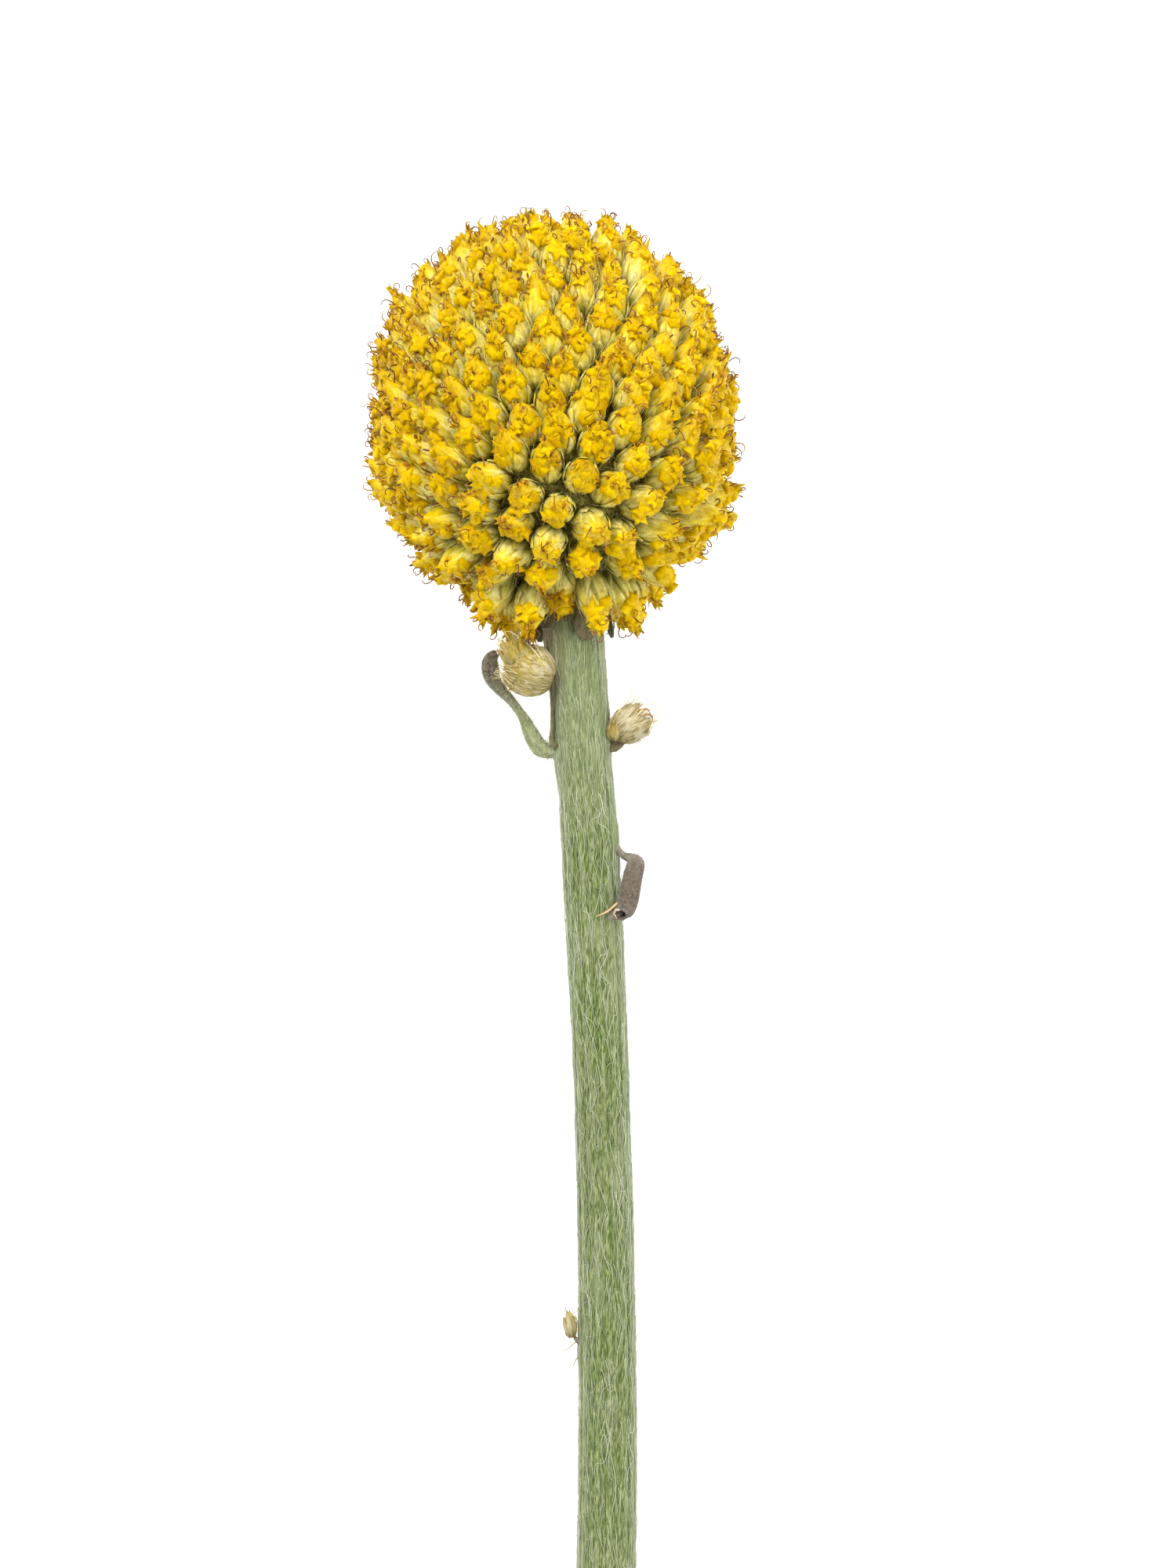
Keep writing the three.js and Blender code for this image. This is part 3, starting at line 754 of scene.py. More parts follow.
def silk_paths():
    """Strands at a chance turn, from 0.25-0.5 up to 0.6-0.9 of the egg's height, wandering sideways.

    They lie 0.11 mm off the egg, and their tips stand off by up to 0.3 s^3 mm more."""
    s = np.linspace(0, 1, SILK_ROWS)[None, None, :]
    low = between(0.25, 0.5, chance(silk_id, 34))[..., None]
    high = between(0.6, 0.9, chance(silk_id, 35))[..., None]
    up = between(low, high, s)
    angle = 2 * np.pi * chance(silk_id, 36)[..., None] + 0.3 * swing(silk_id, 37)[..., None] * s
    radius = belly[:, None, None] * egg(np.minimum(up, 0.84)) + 0.11
    radius = radius + 0.3 * s**3 * chance(silk_id, 38)[..., None]
    return set_up(round_axis(radius, angle, tall[:, None, None] * up))


make_strands("button_silk", "flower_head", silk_paths(), SILK_RADIUS, silk)

# %% [markdown]
# ## Florets
#
# Each small head has ten places for florets, and some of them are empty. Flowering begins at its tip. There
# the florets have withered: one makes a pointed orange beak. Those on the side of the stem are still fresh:
# open stars with five pointed fleshy lobes, or buds like small creased balloons. Three shapes are enough,
# because every copy is squeezed, bent and turned by chance.

# %% Where the florets stand
# In each row: the turn from the side of the stem and how much it varies, in radians. The height, and how much
# higher on the upper half, as shares of the egg's. The distance from the axis in girths, the tilt in degrees
# and the size in mm. Then the chances of a withered floret, of a bud and of an empty place.
FLORET_PLACES = (
    (0.0, 0.5, 0.62, 0.09, 0.92, 60, 0.78, 0.02, 0.35, 0.0),  # the freshest
    (0.95, 0.25, 0.68, 0.09, 0.92, 54, 0.64, 0.1, 0.3, 0.15),  # its neighbours
    (-0.95, 0.25, 0.68, 0.09, 0.92, 54, 0.64, 0.12, 0.3, 0.25),
    (3.14, 0.5, 0.93, 0.0, 0.4, 8, 0.55, 1.1, 0.0, 0.05),  # the beak
    (0.4, 0.5, 0.78, 0.05, 0.9, 42, 0.6, 0.15, 0.25, 0.15),  # two in the middle
    (-0.6, 0.6, 0.86, 0.0, 0.85, 28, 0.52, 0.45, 0.2, 0.3),
    (2.2, 0.4, 0.8, 0.02, 0.9, 34, 0.48, 0.6, 0.1, 0.4),  # two beside the beak
    (-2.2, 0.4, 0.8, 0.02, 0.9, 34, 0.48, 0.6, 0.1, 0.5),
    (-0.45, 0.3, 0.73, 0.06, 0.92, 50, 0.62, 0.1, 0.3, 0.25),  # two more in front
    (0.2, 0.4, 0.9, 0.0, 0.7, 20, 0.5, 0.4, 0.2, 0.4),
)
FLORETS, BEAK = len(FLORET_PLACES), 3
spread, play, high_up, raised, far_out, tilt, size, withering, budding, missing = np.array(FLORET_PLACES).T
floret_id = button[:, None] * FLORETS + np.arange(FLORETS)[None, :]
floret_turn = freshest_turn[:, None] + spread + play * swing(floret_id, 42)
floret_height = high_up + 0.03 * swing(floret_id, 43)
floret_height = floret_height + 0.07 * hanging
floret_height = floret_height + raised * np.clip(0.25 + endways[:, None] / 0.5, 0, 1)
floret_out = far_out * belly[:, None] * egg(floret_height)
floret_tilt = np.radians(tilt) * between(0.7, 1.2, chance(floret_id, 41))
floret_size = ((1 + 0.2 * hanging) * size * between(0.85, 1.15, chance(floret_id, 44))).ravel()
floret_places = set_up(round_axis(floret_out, floret_turn, floret_height * tall[:, None])).reshape(-1, 3)
leaning = round_axis(np.sin(floret_tilt), floret_turn, np.cos(floret_tilt))
slope = 2 * (bend / tall)[:, None, None] * floret_height[..., None] * bend_towards[:, None, :]
floret_axes = (unit(leaning + slope) @ button_frames).reshape(-1, 3)

# %% Which florets are open
# Those that stand higher on the upper half leave more room there, so more of the places are empty.
draw = chance(floret_id, 45)
absent = (chance(floret_id, 60) < missing + 5 * raised * np.clip(endways[:, None], 0, 1)).ravel()
withered = (draw < withering + 0.6 * (age[:, None] - 0.5)).ravel() & ~absent
budded = (draw > 1 - budding).ravel() & ~withered & ~absent
opened = ~withered & ~budded & ~absent
print(opened.sum(), "open florets,", budded.sum(), "buds,", withered.sum(), "withered")

# %% Shapes of the three kinds
LOBES = 5


def floret_shape(radii, heights, ribs, twist=0.0, curl=-0.25):
    """Rings of five lobes: radius r (1 + rib u), where u steps from 1 to -1 and back, five times.

    Points with a high u stand curl rib u r higher than the ring."""
    radii, heights, ribs = (np.asarray(values, float)[:, None] for values in (radii, heights, ribs))
    across = np.tile((1, -1), LOBES)[None, :]
    angle = np.arange(across.size)[None, :] * 2 * np.pi / across.size + twist * heights
    return round_axis(radii * (1 + ribs * across), angle, heights + curl * across * ribs * radii)


star_shape = floret_shape(
    radii=(0.4, 0.76, 0.86, 0.5, 0.16),
    heights=(-0.9, -0.14, 0.12, 0.34, 0.4),
    ribs=(0.0, 0.2, 0.31, 0.16, 0.0),
)
bud_shape = floret_shape(
    radii=(0.4, 0.66, 0.78, 0.58, 0.16),
    heights=(-1.4, -0.4, 0.0, 0.36, 0.46),
    ribs=(0.0, 0.08, 0.13, 0.2, 0.0),
)
withered_shape = floret_shape(
    radii=(0.6, 0.56, 0.5, 0.14),
    heights=(-1.2, 0.0, 0.34, 0.15),
    ribs=(0.0, 0.25, 0.34, 0.0),
    twist=0.5,
    curl=0.7,
)
print("points of a star:", star_shape[..., 0].size, "of a withered one:", withered_shape[..., 0].size)

# %% Build the florets
BEAK_SQUEEZE = (0.88, 0.88, 1.15)
# painted light: florets towards the top and the underside of the globe are painted paler
painted_light_at_ends = 0.3 * np.abs(endways)  # the top and the underside of the globe are paler


def make_florets(name, shape, rim, painted_light_rows, chosen, finish):
    """Copies of one shape at the chosen places, each turned about its own axis by chance.

    Every point of the rings at the rim is moved out or in, and raised or bent down, by a chance of its own.
    Mouths open and shut by up to a quarter, and the mouth's plane bends and slants."""
    number = np.flatnonzero(chosen)
    copies = len(number)
    lobe = number[:, None, None] * 17 + np.arange(shape.shape[1])[None, None, :]
    rim = np.asarray(rim, float)[None, :, None]
    local = np.repeat(shape[None], copies, 0)
    mouth = 0.25 * np.maximum(rim - 1, 0) * swing(number, 37)[:, None, None]
    local[..., :2] *= (1 + 0.16 * rim * swing(lobe, 57) + mouth)[..., None]
    bent = swing(number, 59)[:, None, None] * (shape[..., 0] ** 2 + shape[..., 1] ** 2)
    slant = local[..., 0] * swing(number, 39)[:, None, None]
    slant = slant + local[..., 1] * swing(number, 38)[:, None, None]
    local[..., 2] += rim * (0.16 * swing(lobe, 58) + 0.22 * bent + 0.35 * slant)
    squeeze = 1 + 0.16 * swing_3d(number, 46)
    squeeze = squeeze * np.where((number % FLORETS == BEAK)[:, None], BEAK_SQUEEZE, 1.0)
    flat = turned(local.reshape(copies, -1, 3) * squeeze[:, None, :], 2 * np.pi * chance(number, 49))
    flat = flat * floret_size[number, None, None]
    points = place(flat, floret_places[number], frames_along(floret_axes[number]))
    girth = np.hypot(shape[..., 0], shape[..., 1])
    # painted shade: along is lower in the notches between the lobes and on rows with little painted light
    painted_crease_shade = (girth / girth.max(1, keepdims=True)) ** 0.7
    head = number // FLORETS
    make_tubes(
        name,
        "flower_head",
        points.reshape(local.shape),
        finish,
        tint=(0.7 * chance(number, 50) + 0.3 * age[head] - painted_light_at_ends[head])[:, None, None],
        along=np.asarray(painted_light_rows)[:, None] * painted_crease_shade,
    )


# The fourth entry of each row is painted light for each ring: a low value turns that ring to the throat
# colour, partly painted shade.
FLORET_KINDS = (
    ("open_florets", star_shape, (0, 1.2, 1, 0.6, 0), (0.3, 1, 1, 0.92, 0.7), opened, open_petal),
    ("bud_florets", bud_shape, (0, 0.4, 0.6, 0.6, 0), (0.2, 0.6, 1, 1, 0.7), budded, closed_petal),
    ("withered_florets", withered_shape, (0, 1.0, 2.2, 0), (0.8, 1, 1.05, 0.3), withered, withered_petal),
)
for kind in FLORET_KINDS:
    make_florets(*kind)

# %% [markdown]
# ## Curled styles
#
# Each spent floret keeps its style, a brown thread that rises from its middle and curls over like a hook.
# The curl is a path whose heading turns ever faster; adding up small steps along the heading gives it.

# %% Build the styles
STYLE_ROWS, STYLE_RADIUS = 9, 0.056
STYLES_IN_BUDS, STYLES_WITHERED, STYLES_OPEN = 0.05, 0.9, 0.45  # shares of the florets with a long style
style_share = np.where(budded, STYLES_IN_BUDS, np.where(withered, STYLES_WITHERED, STYLES_OPEN))
style_from = np.flatnonzero(chance(np.arange(BUTTONS * FLORETS), 51) < style_share)


def style_paths():
    """The heading is side + curl max(0, s - 0.35)^1.3. The path adds up steps cos along and sin across it."""
    s = np.linspace(0, 1, STYLE_ROWS)[None, :]
    length = between(0.8, 1.6, chance(style_from, 52))[:, None]
    way = np.where(chance(style_from, 54) < 0.5, 1, -1)[:, None]
    curl = between(3.0, 8.5, chance(style_from, 53))[:, None] * way
    heading = 0.9 * swing(style_from, 55)[:, None] + curl * np.maximum(0, s - 0.35) ** 1.3
    step = length / (STYLE_ROWS - 1)
    rise = np.cumsum(np.cos(heading), 1) * step - step
    aside = np.cumsum(np.sin(heading), 1) * step - step * np.sin(heading[:, :1])
    local = round_axis(aside, 2 * np.pi * chance(style_from, 56)[:, None], rise)
    return place(local, floret_places[style_from], frames_along(floret_axes[style_from]))


make_strands("curled_styles", "flower_head", style_paths(), STYLE_RADIUS, brown_style, thin=0.6)

# %% [markdown]
# ## Wool between the small heads
#
# Grey wool rises from the core into the gaps. A strand starts anywhere on the core and wanders as it rises.
# Those that start under a small head are hidden by it, which costs less than looking for the gaps.

# %% Build the wool
WOOLS, WOOL_ROWS, WOOL_RADIUS = 2400, 5, 0.026
WOOL_DRAWS = (65, 66, 67)  # purposes of the draws for the waves' pace, and their phases too


def wool_paths():
    """From chance directions on the core, rising 0.4-1.9 mm, with sideways waves that grow as they rise."""
    number = np.arange(WOOLS)
    start = unit(swing_3d(number, 61))
    start = start[start[:, 1] > -np.cos(STEM_CLEARING * 1.1)]
    number = number[: len(start)]
    s = np.linspace(0, 1, WOOL_ROWS)[None, :, None]
    rise = between(0.4, 1.9, chance(number, 64))[:, None, None] / (HEAD_WIDTH / 2)
    pace = [between(3, 9, chance(number, k))[:, None] for k in WOOL_DRAWS]
    waves = np.stack([np.sin(s[..., 0] * pace[k] + WOOL_DRAWS[k]) for k in range(3)], -1)
    path = start[:, None, :] + waves * 0.035 * s
    return on_head(unit(path), CORE_SHARE + 0.06 + (rise * s)[..., 0])


make_strands("gap_wool", "flower_head", wool_paths(), WOOL_RADIUS, grey_wool)

# %% [markdown]
# ## Stem
#
# The stem is a tube with about thirty fine ribs of uneven height that wander a little along it. White down
# lies on it like cobweb. The grooves between the ribs are painted a darker green, as painted shade, so the
# ribs look pale.

# %% Finish of the stem
STREAKS = ((0.37, 72, 90, 38), (0.46, 110, 124, 70), (0.55, 138, 148, 98), (0.66, 182, 188, 148))


def stem_finish():
    """Green and sage streaks that are many times longer along the stem than across, with painted shade in the
    grooves.

    Patches of deeper green and of felt lie over them. Three numbers of the skin's own add the paler neck, a
    brown stain beside the upper shoots and the pale pith of the cut."""
    finish, tree, shader = new_finish("stem_skin", 0.8, subsurface=0.05, sheen=0.8, specular=0.2)
    green = ramp(tree, noise(tree, 0.1, (1, 9, 1), detail=4.0, roughness=0.62), *STREAKS)
    # painted shade: the skin is darkened to a deeper green in the grooves, the more the deeper they are
    ribs = mixed(tree, read(tree, "groove"), colour(*WHITE), colour(196, 208, 176))
    patches = noise(tree, 1.4, (1, 4, 1), detail=2.0)
    deeper = ramp(tree, patches, (0.48, *WHITE), (0.64, 228, 240, 204))
    skin = shaded_by(tree, shaded_by(tree, green, ribs), deeper)
    felt = black_to_white(tree, noise(tree, 1.6, (1, 3, 1), detail=5.0), 0.54, 0.86)
    skin = mixed(tree, felt, skin, colour(158, 166, 128))
    skin = mixed(tree, read(tree, "neck"), skin, colour(152, 160, 126))
    skin = mixed(tree, read(tree, "stain"), skin, colour(172, 156, 130))
    skin = mixed(tree, read(tree, "pith"), skin, colour(214, 204, 160))
    tree.links.new(skin, shader.inputs["Base Color"])
    bumped(tree, shader, noise(tree, 0.12, (1, 9, 1), detail=4.0), 0.06, 0.8)
    return finish


stem_skin = stem_finish()
down = plain_finish("down", 0.75, (0.0, 150, 160, 110), (1.0, 214, 220, 188), sheen=0.3)

# %% The stem's skin
STEM_ROWS, STEM_COLUMNS = 200, 120
LEAF_RIDGES = (  # the turn, the distance below, the length and the height of the ridge under each leaf's foot
    (np.radians(176), 23.4, 1.5, 0.2),
    (np.radians(8), 28.4, 1.8, 0.16),
    (np.radians(178), 64.2, 1.0, 0.12),
)


def turn_from(angle, middle):
    """The turn from the middle to an angle, between -pi and pi."""
    return np.angle(np.exp(1j * (angle - middle)))


def stem_frames(below):
    """Three unit vectors at each point of the centreline: to +X, up, and along it to its cut end."""
    along = unit(stem_point(below + 0.1) - stem_point(below - 0.1))
    first = unit(np.cross(np.broadcast_to([0, 0, 1.0], along.shape), along))
    return first, np.cross(along, first), along


def stem_surface_radius(angle, below):
    """girth - rib + a sum of waves round the stem, with a low ridge under each leaf's foot.

    The waves have 13, 29 and 19 crests and wander along the stem. It is slimmer 24 mm below and fuller on the
    left 14 mm below. A ridge is height exp(-(turn / 0.2)^2 - (distance / length)^2)."""
    wander = 0.5 * np.sin(below * 0.09) + 0.3 * np.sin(below * 0.21 + 1)
    ribs = 0.42 * np.cos(13 * angle + wander) + 0.34 * np.cos(29 * angle + 1.4 * wander + 1)
    ribs = ribs + 0.24 * np.cos(19 * angle - wander + 0.4 * np.sin(below * 0.5) + 2)
    radius = stem_girth(below) - STEM_RIB - 0.11 * bell(below, 24, 5) + 0.055 * ribs
    radius = radius + 0.12 * bell(below, 14, 5) * np.maximum(0, -np.cos(angle))
    for at_angle, at_below, length, height in LEAF_RIDGES:
        aside = turn_from(angle, at_angle)
        radius = radius + height * np.exp(-((aside / 0.2) ** 2) - ((below - at_below) / length) ** 2)
    return radius, ribs


def on_stem(angle, below, off=0.0):
    """The point of the stem's skin at a turn and a distance below, lifted by off.

    The turn counts from +X towards +Z."""
    first, second, _ = stem_frames(below)
    radius = stem_surface_radius(angle, below)[0] + off
    outwards = np.cos(angle)[..., None] * first + np.sin(angle)[..., None] * second
    return stem_point(below) + radius[..., None] * outwards


# %% Build the stem
CAP_SHRINK = np.array([0.97, 0.8, 0.45, 0.05])[:, None, None]
CAP_RISE = np.array([0.03, 0.0, -0.08, -0.1])[:, None, None]
CAP_PITH = (0.2, 0.8, 1, 1)
CUT_SLANT, STAIN_TURN = 0.6, np.radians(158)


def with_cap(skin, cap=(0, 0, 0, 0)):
    """The skin's numbers, followed by one for each of the cap's rings."""
    return np.concatenate([skin, np.array(cap)[:, None] * np.ones(STEM_COLUMNS)])


def build_stem():
    """Rings of the skin, and rings that shrink to the middle for the slanted cut."""
    below = np.linspace(STEM_TOP, STEM_END, STEM_ROWS)[:, None]
    angle = -np.arange(STEM_COLUMNS)[None, :] * 2 * np.pi / STEM_COLUMNS
    below, angle = np.broadcast_arrays(below, angle)
    skin = on_stem(angle, below)
    ribs = stem_surface_radius(angle, below)[1]
    endwards = stem_frames(below[-1])[2]
    skin[-1] += -CUT_SLANT * np.sin(angle[-1])[:, None] * endwards
    middle = stem_point(STEM_END)
    cap = middle + (skin[-1] - middle)[None] * CAP_SHRINK + endwards * CAP_RISE
    make_tubes(
        "stem_skin",
        "stem",
        np.concatenate([skin, cap]),
        stem_skin,
        groove=with_cap(np.clip(0.5 - 0.7 * ribs, 0, 1)),
        neck=with_cap(np.clip(0.7 - (below - 12) / 26, 0, 0.3)),
        stain=with_cap(bell(turn_from(angle, STAIN_TURN), 0, 0.5) * np.clip((20.5 - below) / 3, 0, 1)),
        pith=with_cap(np.zeros(below.shape), CAP_PITH),
    )


build_stem()

# %% [markdown]
# The down is of three kinds: fine strands that lie along the stem, short ones that stand off it, and a few
# long ones that wander over the others like threads of cobweb. They are meshes and not Blender's hair, so
# that they go wherever the model goes.

# %% Build the down on the stem
LYING, LYING_ROWS, LYING_RADIUS = 2700, 6, 0.021
STANDING, STANDING_ROWS, STANDING_RADIUS = 1900, 4, 0.012
COBWEBS, COBWEB_ROWS, COBWEB_RADIUS = 80, 22, 0.026


def lying_down():
    """Strands 1.2-4.5 mm long along the stem, that sway and drift sideways and lie 0.02-0.07 mm off it."""
    number = np.arange(LYING)
    s = np.linspace(0, 1, LYING_ROWS)[None, :]
    length = between(1.2, 4.5, chance(number, 71) ** 2)[:, None]
    below = between(STEM_TOP + 5, STEM_END - 5, chance(number, 72))[:, None] + length * s
    sway = 0.06 * np.sin(s * between(2, 7, chance(number, 73))[:, None] + 6 * chance(number, 74)[:, None])
    drift = 0.12 * swing(number, 75)[:, None] * s
    angle = 2 * np.pi * chance(number, 76)[:, None] + sway + drift
    return on_stem(angle, below, 0.02 + 0.05 * np.sin(np.pi * s) * chance(number, 77)[:, None])


def standing_down():
    """Hairs that leave the skin and bend up or down the stem. They stand length s (1.2 - 0.5 s) off it."""
    number = np.arange(STANDING)
    s = np.linspace(0, 1, STANDING_ROWS)[None, :]
    length = between(0.1, 0.4, chance(number, 78) ** 2)[:, None]
    below = between(STEM_TOP + 5, STEM_END - 1, chance(number, 79))[:, None]
    below = below + length * s * swing(number, 80)[:, None]
    angle = 2 * np.pi * chance(number, 81)[:, None] + 0.15 * swing(number, 82)[:, None] * s
    return on_stem(angle, below, length * s * (1.2 - 0.5 * s))


def cobweb():
    """Strands 3-10 mm long on the upper side, that cross the ribs in waves and lie 0.05-0.1 mm off."""
    number = np.arange(COBWEBS)
    s = np.linspace(0, 1, COBWEB_ROWS)[None, :]
    length = between(3, 10, chance(number, 83))[:, None]
    below = between(STEM_TOP + 16, STEM_END - 12, chance(number, 84))[:, None] + length * s
    wave = 0.16 * np.sin(s * between(5, 14, chance(number, 85))[:, None] + 6 * chance(number, 86)[:, None])
    angle = np.pi * (0.5 + 0.6 * swing(number, 87))[:, None] + wave + 0.5 * swing(number, 88)[:, None] * s
    below = below + 0.35 * np.sin(s * between(6, 20, chance(number, 89))[:, None])
    return on_stem(angle, below, 0.05 + 0.05 * np.sin(np.pi * s) * chance(number, 91)[:, None])


cobweb_tint = 0.5 + 0.5 * chance(np.arange(COBWEBS), 92)
make_strands("stem_down", "stem", lying_down(), LYING_RADIUS, down)
make_strands("stem_fuzz", "stem", standing_down(), STANDING_RADIUS, down, guide=(0.2, 1.0, 0.1))
make_strands("stem_cobweb", "stem", cobweb(), COBWEB_RADIUS, down, tint=cobweb_tint)

# %% [markdown]
# ## Leaves
#
# What is left of the leaves has rolled in from both edges, so each is a thick little scoop with a groove
# along it. The section that is carried along the path is an oval with a dent on one side, and its width and
# thickness change from station to station.

# %% Finishes of the withered pieces


def felt_finish(name, low, high, tip, spot=0.3):
    """Mottled felt between two colours that turns to spots of the tip colour as age nears 1."""
    finish, tree, shader = new_finish(name, 0.9, sheen=0.4, specular=0.15)
    felt = ramp(tree, noise(tree, spot, (1, 2, 1), detail=5.0, roughness=0.65), (0.32, *low), (0.66, *high))
    spots = ramp(tree, noise(tree, spot * 0.7, detail=4.0), (0.3, 66, 60, 50), (0.6, *tip))
    tree.links.new(mixed(tree, read(tree, "age"), felt, spots), shader.inputs["Base Color"])
    bumped(tree, shader, noise(tree, 0.1, detail=5.0), 0.07, 0.9)
    return finish


leaf_felt = felt_finish("leaf_felt", (104, 112, 66), (176, 180, 140), (122, 114, 100))
stalk_felt = felt_finish("stalk_felt", (88, 88, 50), (128, 126, 84), (106, 96, 68))
dead_felt = felt_finish("dead_felt", (88, 82, 68), (164, 158, 140), (116, 102, 90))
scale_felt = felt_finish("scale_felt", (92, 88, 62), (158, 150, 114), (108, 100, 72))

# %% Carry a section along a path
SMOOTHING_REACH = 3  # rings to each side that a ring's width and thickness are blended with
SMOOTHING = np.hanning(2 * SMOOTHING_REACH + 3)[1:-1]


def blended(stations, s):
    """Half the size at each place s, from (place, size) stations, blended with the rings to both sides."""
    half = np.interp(s, *zip(*stations)) / 2
    return np.convolve(np.pad(half, SMOOTHING_REACH, "edge"), SMOOTHING / SMOOTHING.sum(), "valid")


def carried(route, rows, columns, width, thick, section, wide=(1.0, 0.0, 0.0)):
    """Points path + across * w(s)/2 wide + raised * t(s)/2 up, with (across, raised) = section(angle, s).

    width and thick are (place, size) stations, blended smoothly."""
    path = smooth_path(route, rows)
    s = np.linspace(0, 1, rows)
    along = unit(np.gradient(path, axis=0))
    wide = unit(np.asarray(wide) - (along @ np.asarray(wide))[:, None] * along)
    up = np.cross(along, wide)
    angle = np.arange(columns) * 2 * np.pi / columns
    across, raised = section(angle[None, :], s[:, None])
    to_side = (blended(width, s)[:, None] * across)[..., None] * wide[:, None]
    to_top = (blended(thick, s)[:, None] * raised)[..., None] * up[:, None]
    return path[:, None] + (to_side + to_top)


def round_section(angle, s):
    """A circle with six faint ribs."""
    rib = 1 + 0.06 * np.cos(6 * angle)
    return np.cos(angle) * rib, np.sin(angle) * rib


def grooved(angle, s):
    """An oval with a dent in its upper side, and small wrinkles along it."""
    wrinkle = 1 + 0.05 * np.sin(7 * angle + 9 * s) + 0.04 * np.sin(23 * s + 3 * angle)
    across = np.cos(angle) * wrinkle
    raised = np.sin(angle) * wrinkle - 0.55 * np.clip(np.sin(angle), 0, 1) ** 3 * bell(across, 0, 0.55)
    return across, raised


# %% Felt that stands on a piece
FUZZ_ROWS, FUZZ_RADIUS = 5, 0.016


def add_fuzz(name, node, skin, count, length, finish, item, forwards=0.6):
    """Short bent hairs at chance points of a skin, rows x columns x 3.

    A hair starts along the skin's normal, which is ring direction x path direction, and bends forwards."""
    number = np.arange(count) + 5000 * item
    rows, columns = skin.shape[:2]
    row = (1 + chance(number, 121) * (rows - 3)).astype(int)
    column = (chance(number, 122) * columns).astype(int)
    root = skin[row, column]
    ahead = unit(skin[row + 1, column] - root)
    beside = skin[row, (column + 1) % columns] - root
    outwards = unit(np.cross(beside, ahead))
    stray = swing_3d(number, 123)
    s = np.linspace(0, 1, FUZZ_ROWS)[None, :, None]
    hair_length = (length * between(0.4, 1.2, chance(number, 126)))[:, None, None]
    heading = outwards[:, None] * (1 - 0.75 * s) + forwards * s * ahead[:, None] + 0.6 * stray[:, None]
    paths = root[:, None] - 0.02 * outwards[:, None] + hair_length * s * heading
    make_strands(name, node, paths, FUZZ_RADIUS, finish, guide=(0.37, 0.61, 0.7))


# %% Build the leaf on the left
LEAF_ROWS, LEAF_COLUMNS, AXIL_ROWS = 70, 28, 16
leaf_route = beside_stem(
    np.array(
        [22.9, 22.72, 22.43, 21.96, 21.28, 20.6, 19.9, 19.23, 18.55, 17.87, 17.32, 16.78, 16.33, 16.1, 16.08]
    ),
    -np.array([1.3, 2.5, 3.01, 3.32, 3.65, 3.87, 4.26, 4.76, 5.35, 5.84, 6.03, 6.06, 5.88, 5.6, 5.36]),
    np.array([0.0, 0.0, 0.0, 0.0, 0.05, 0.1, 0.15, 0.2, 0.25, 0.3, 0.35, 0.4, 0.4, 0.4, 0.4]),
)
leaf_skin = carried(
    leaf_route,
    LEAF_ROWS,
    LEAF_COLUMNS,
    width=(
        *((0, 0.8), (0.08, 0.72), (0.14, 1.1), (0.22, 1.2), (0.31, 1.08), (0.39, 0.84), (0.47, 0.62)),
        *((0.56, 0.6), (0.65, 0.76), (0.75, 0.98), (0.82, 1.16), (0.89, 1.24), (0.95, 0.95), (1, 0.5)),
    ),
    thick=((0, 0.7), (0.2, 0.85), (0.5, 0.65), (0.8, 0.95), (0.95, 0.8), (1, 0.45)),
    section=grooved,
)
leaf_age = np.clip((np.linspace(0, 1, LEAF_ROWS)[:, None] - 0.35) / 0.45, 0, 1)
make_tubes("leaf_left", "upper_leaf", leaf_skin, leaf_felt, age=leaf_age)
add_fuzz("leaf_left_felt", "upper_leaf", leaf_skin, 1000, 0.2, down, 1)
add_fuzz("leaf_left_axil", "upper_leaf", leaf_skin[:AXIL_ROWS], 260, 0.5, down, 5, forwards=0.2)

# %% Build the thin stalk on the left
STALK_ROWS, STALK_COLUMNS = 36, 14
stalk_skin = carried(
    beside_stem(
        np.array([22.4, 22.0, 21.3, 19.9, 18.6, 17.4]),
        np.array([-1.8, -2.12, -2.07, -1.95, -1.86, -1.8]),
        np.array([0.5, 0.6, 0.8, 1.05, 1.3, 1.7]),
    ),
    STALK_ROWS,
    STALK_COLUMNS,
    width=((0, 0.7), (0.14, 0.34), (0.3, 0.24), (1, 0.2)),
    thick=((0, 0.6), (1, 0.3)),
    section=round_section,
)
stalk_age = np.clip(np.linspace(-0.2, 0.7, STALK_ROWS)[:, None], 0, 1)
make_tubes("stalk_left", "side_stalk", stalk_skin, stalk_felt, age=stalk_age)

# %% [markdown]
# The dead leaf on the right has a thin neck and a wrinkled body, rolled to a tube that ends in a lip. There
# one looks into the dark. So its rings go on round the lip and back inside. A tan bristle is left at the lip.

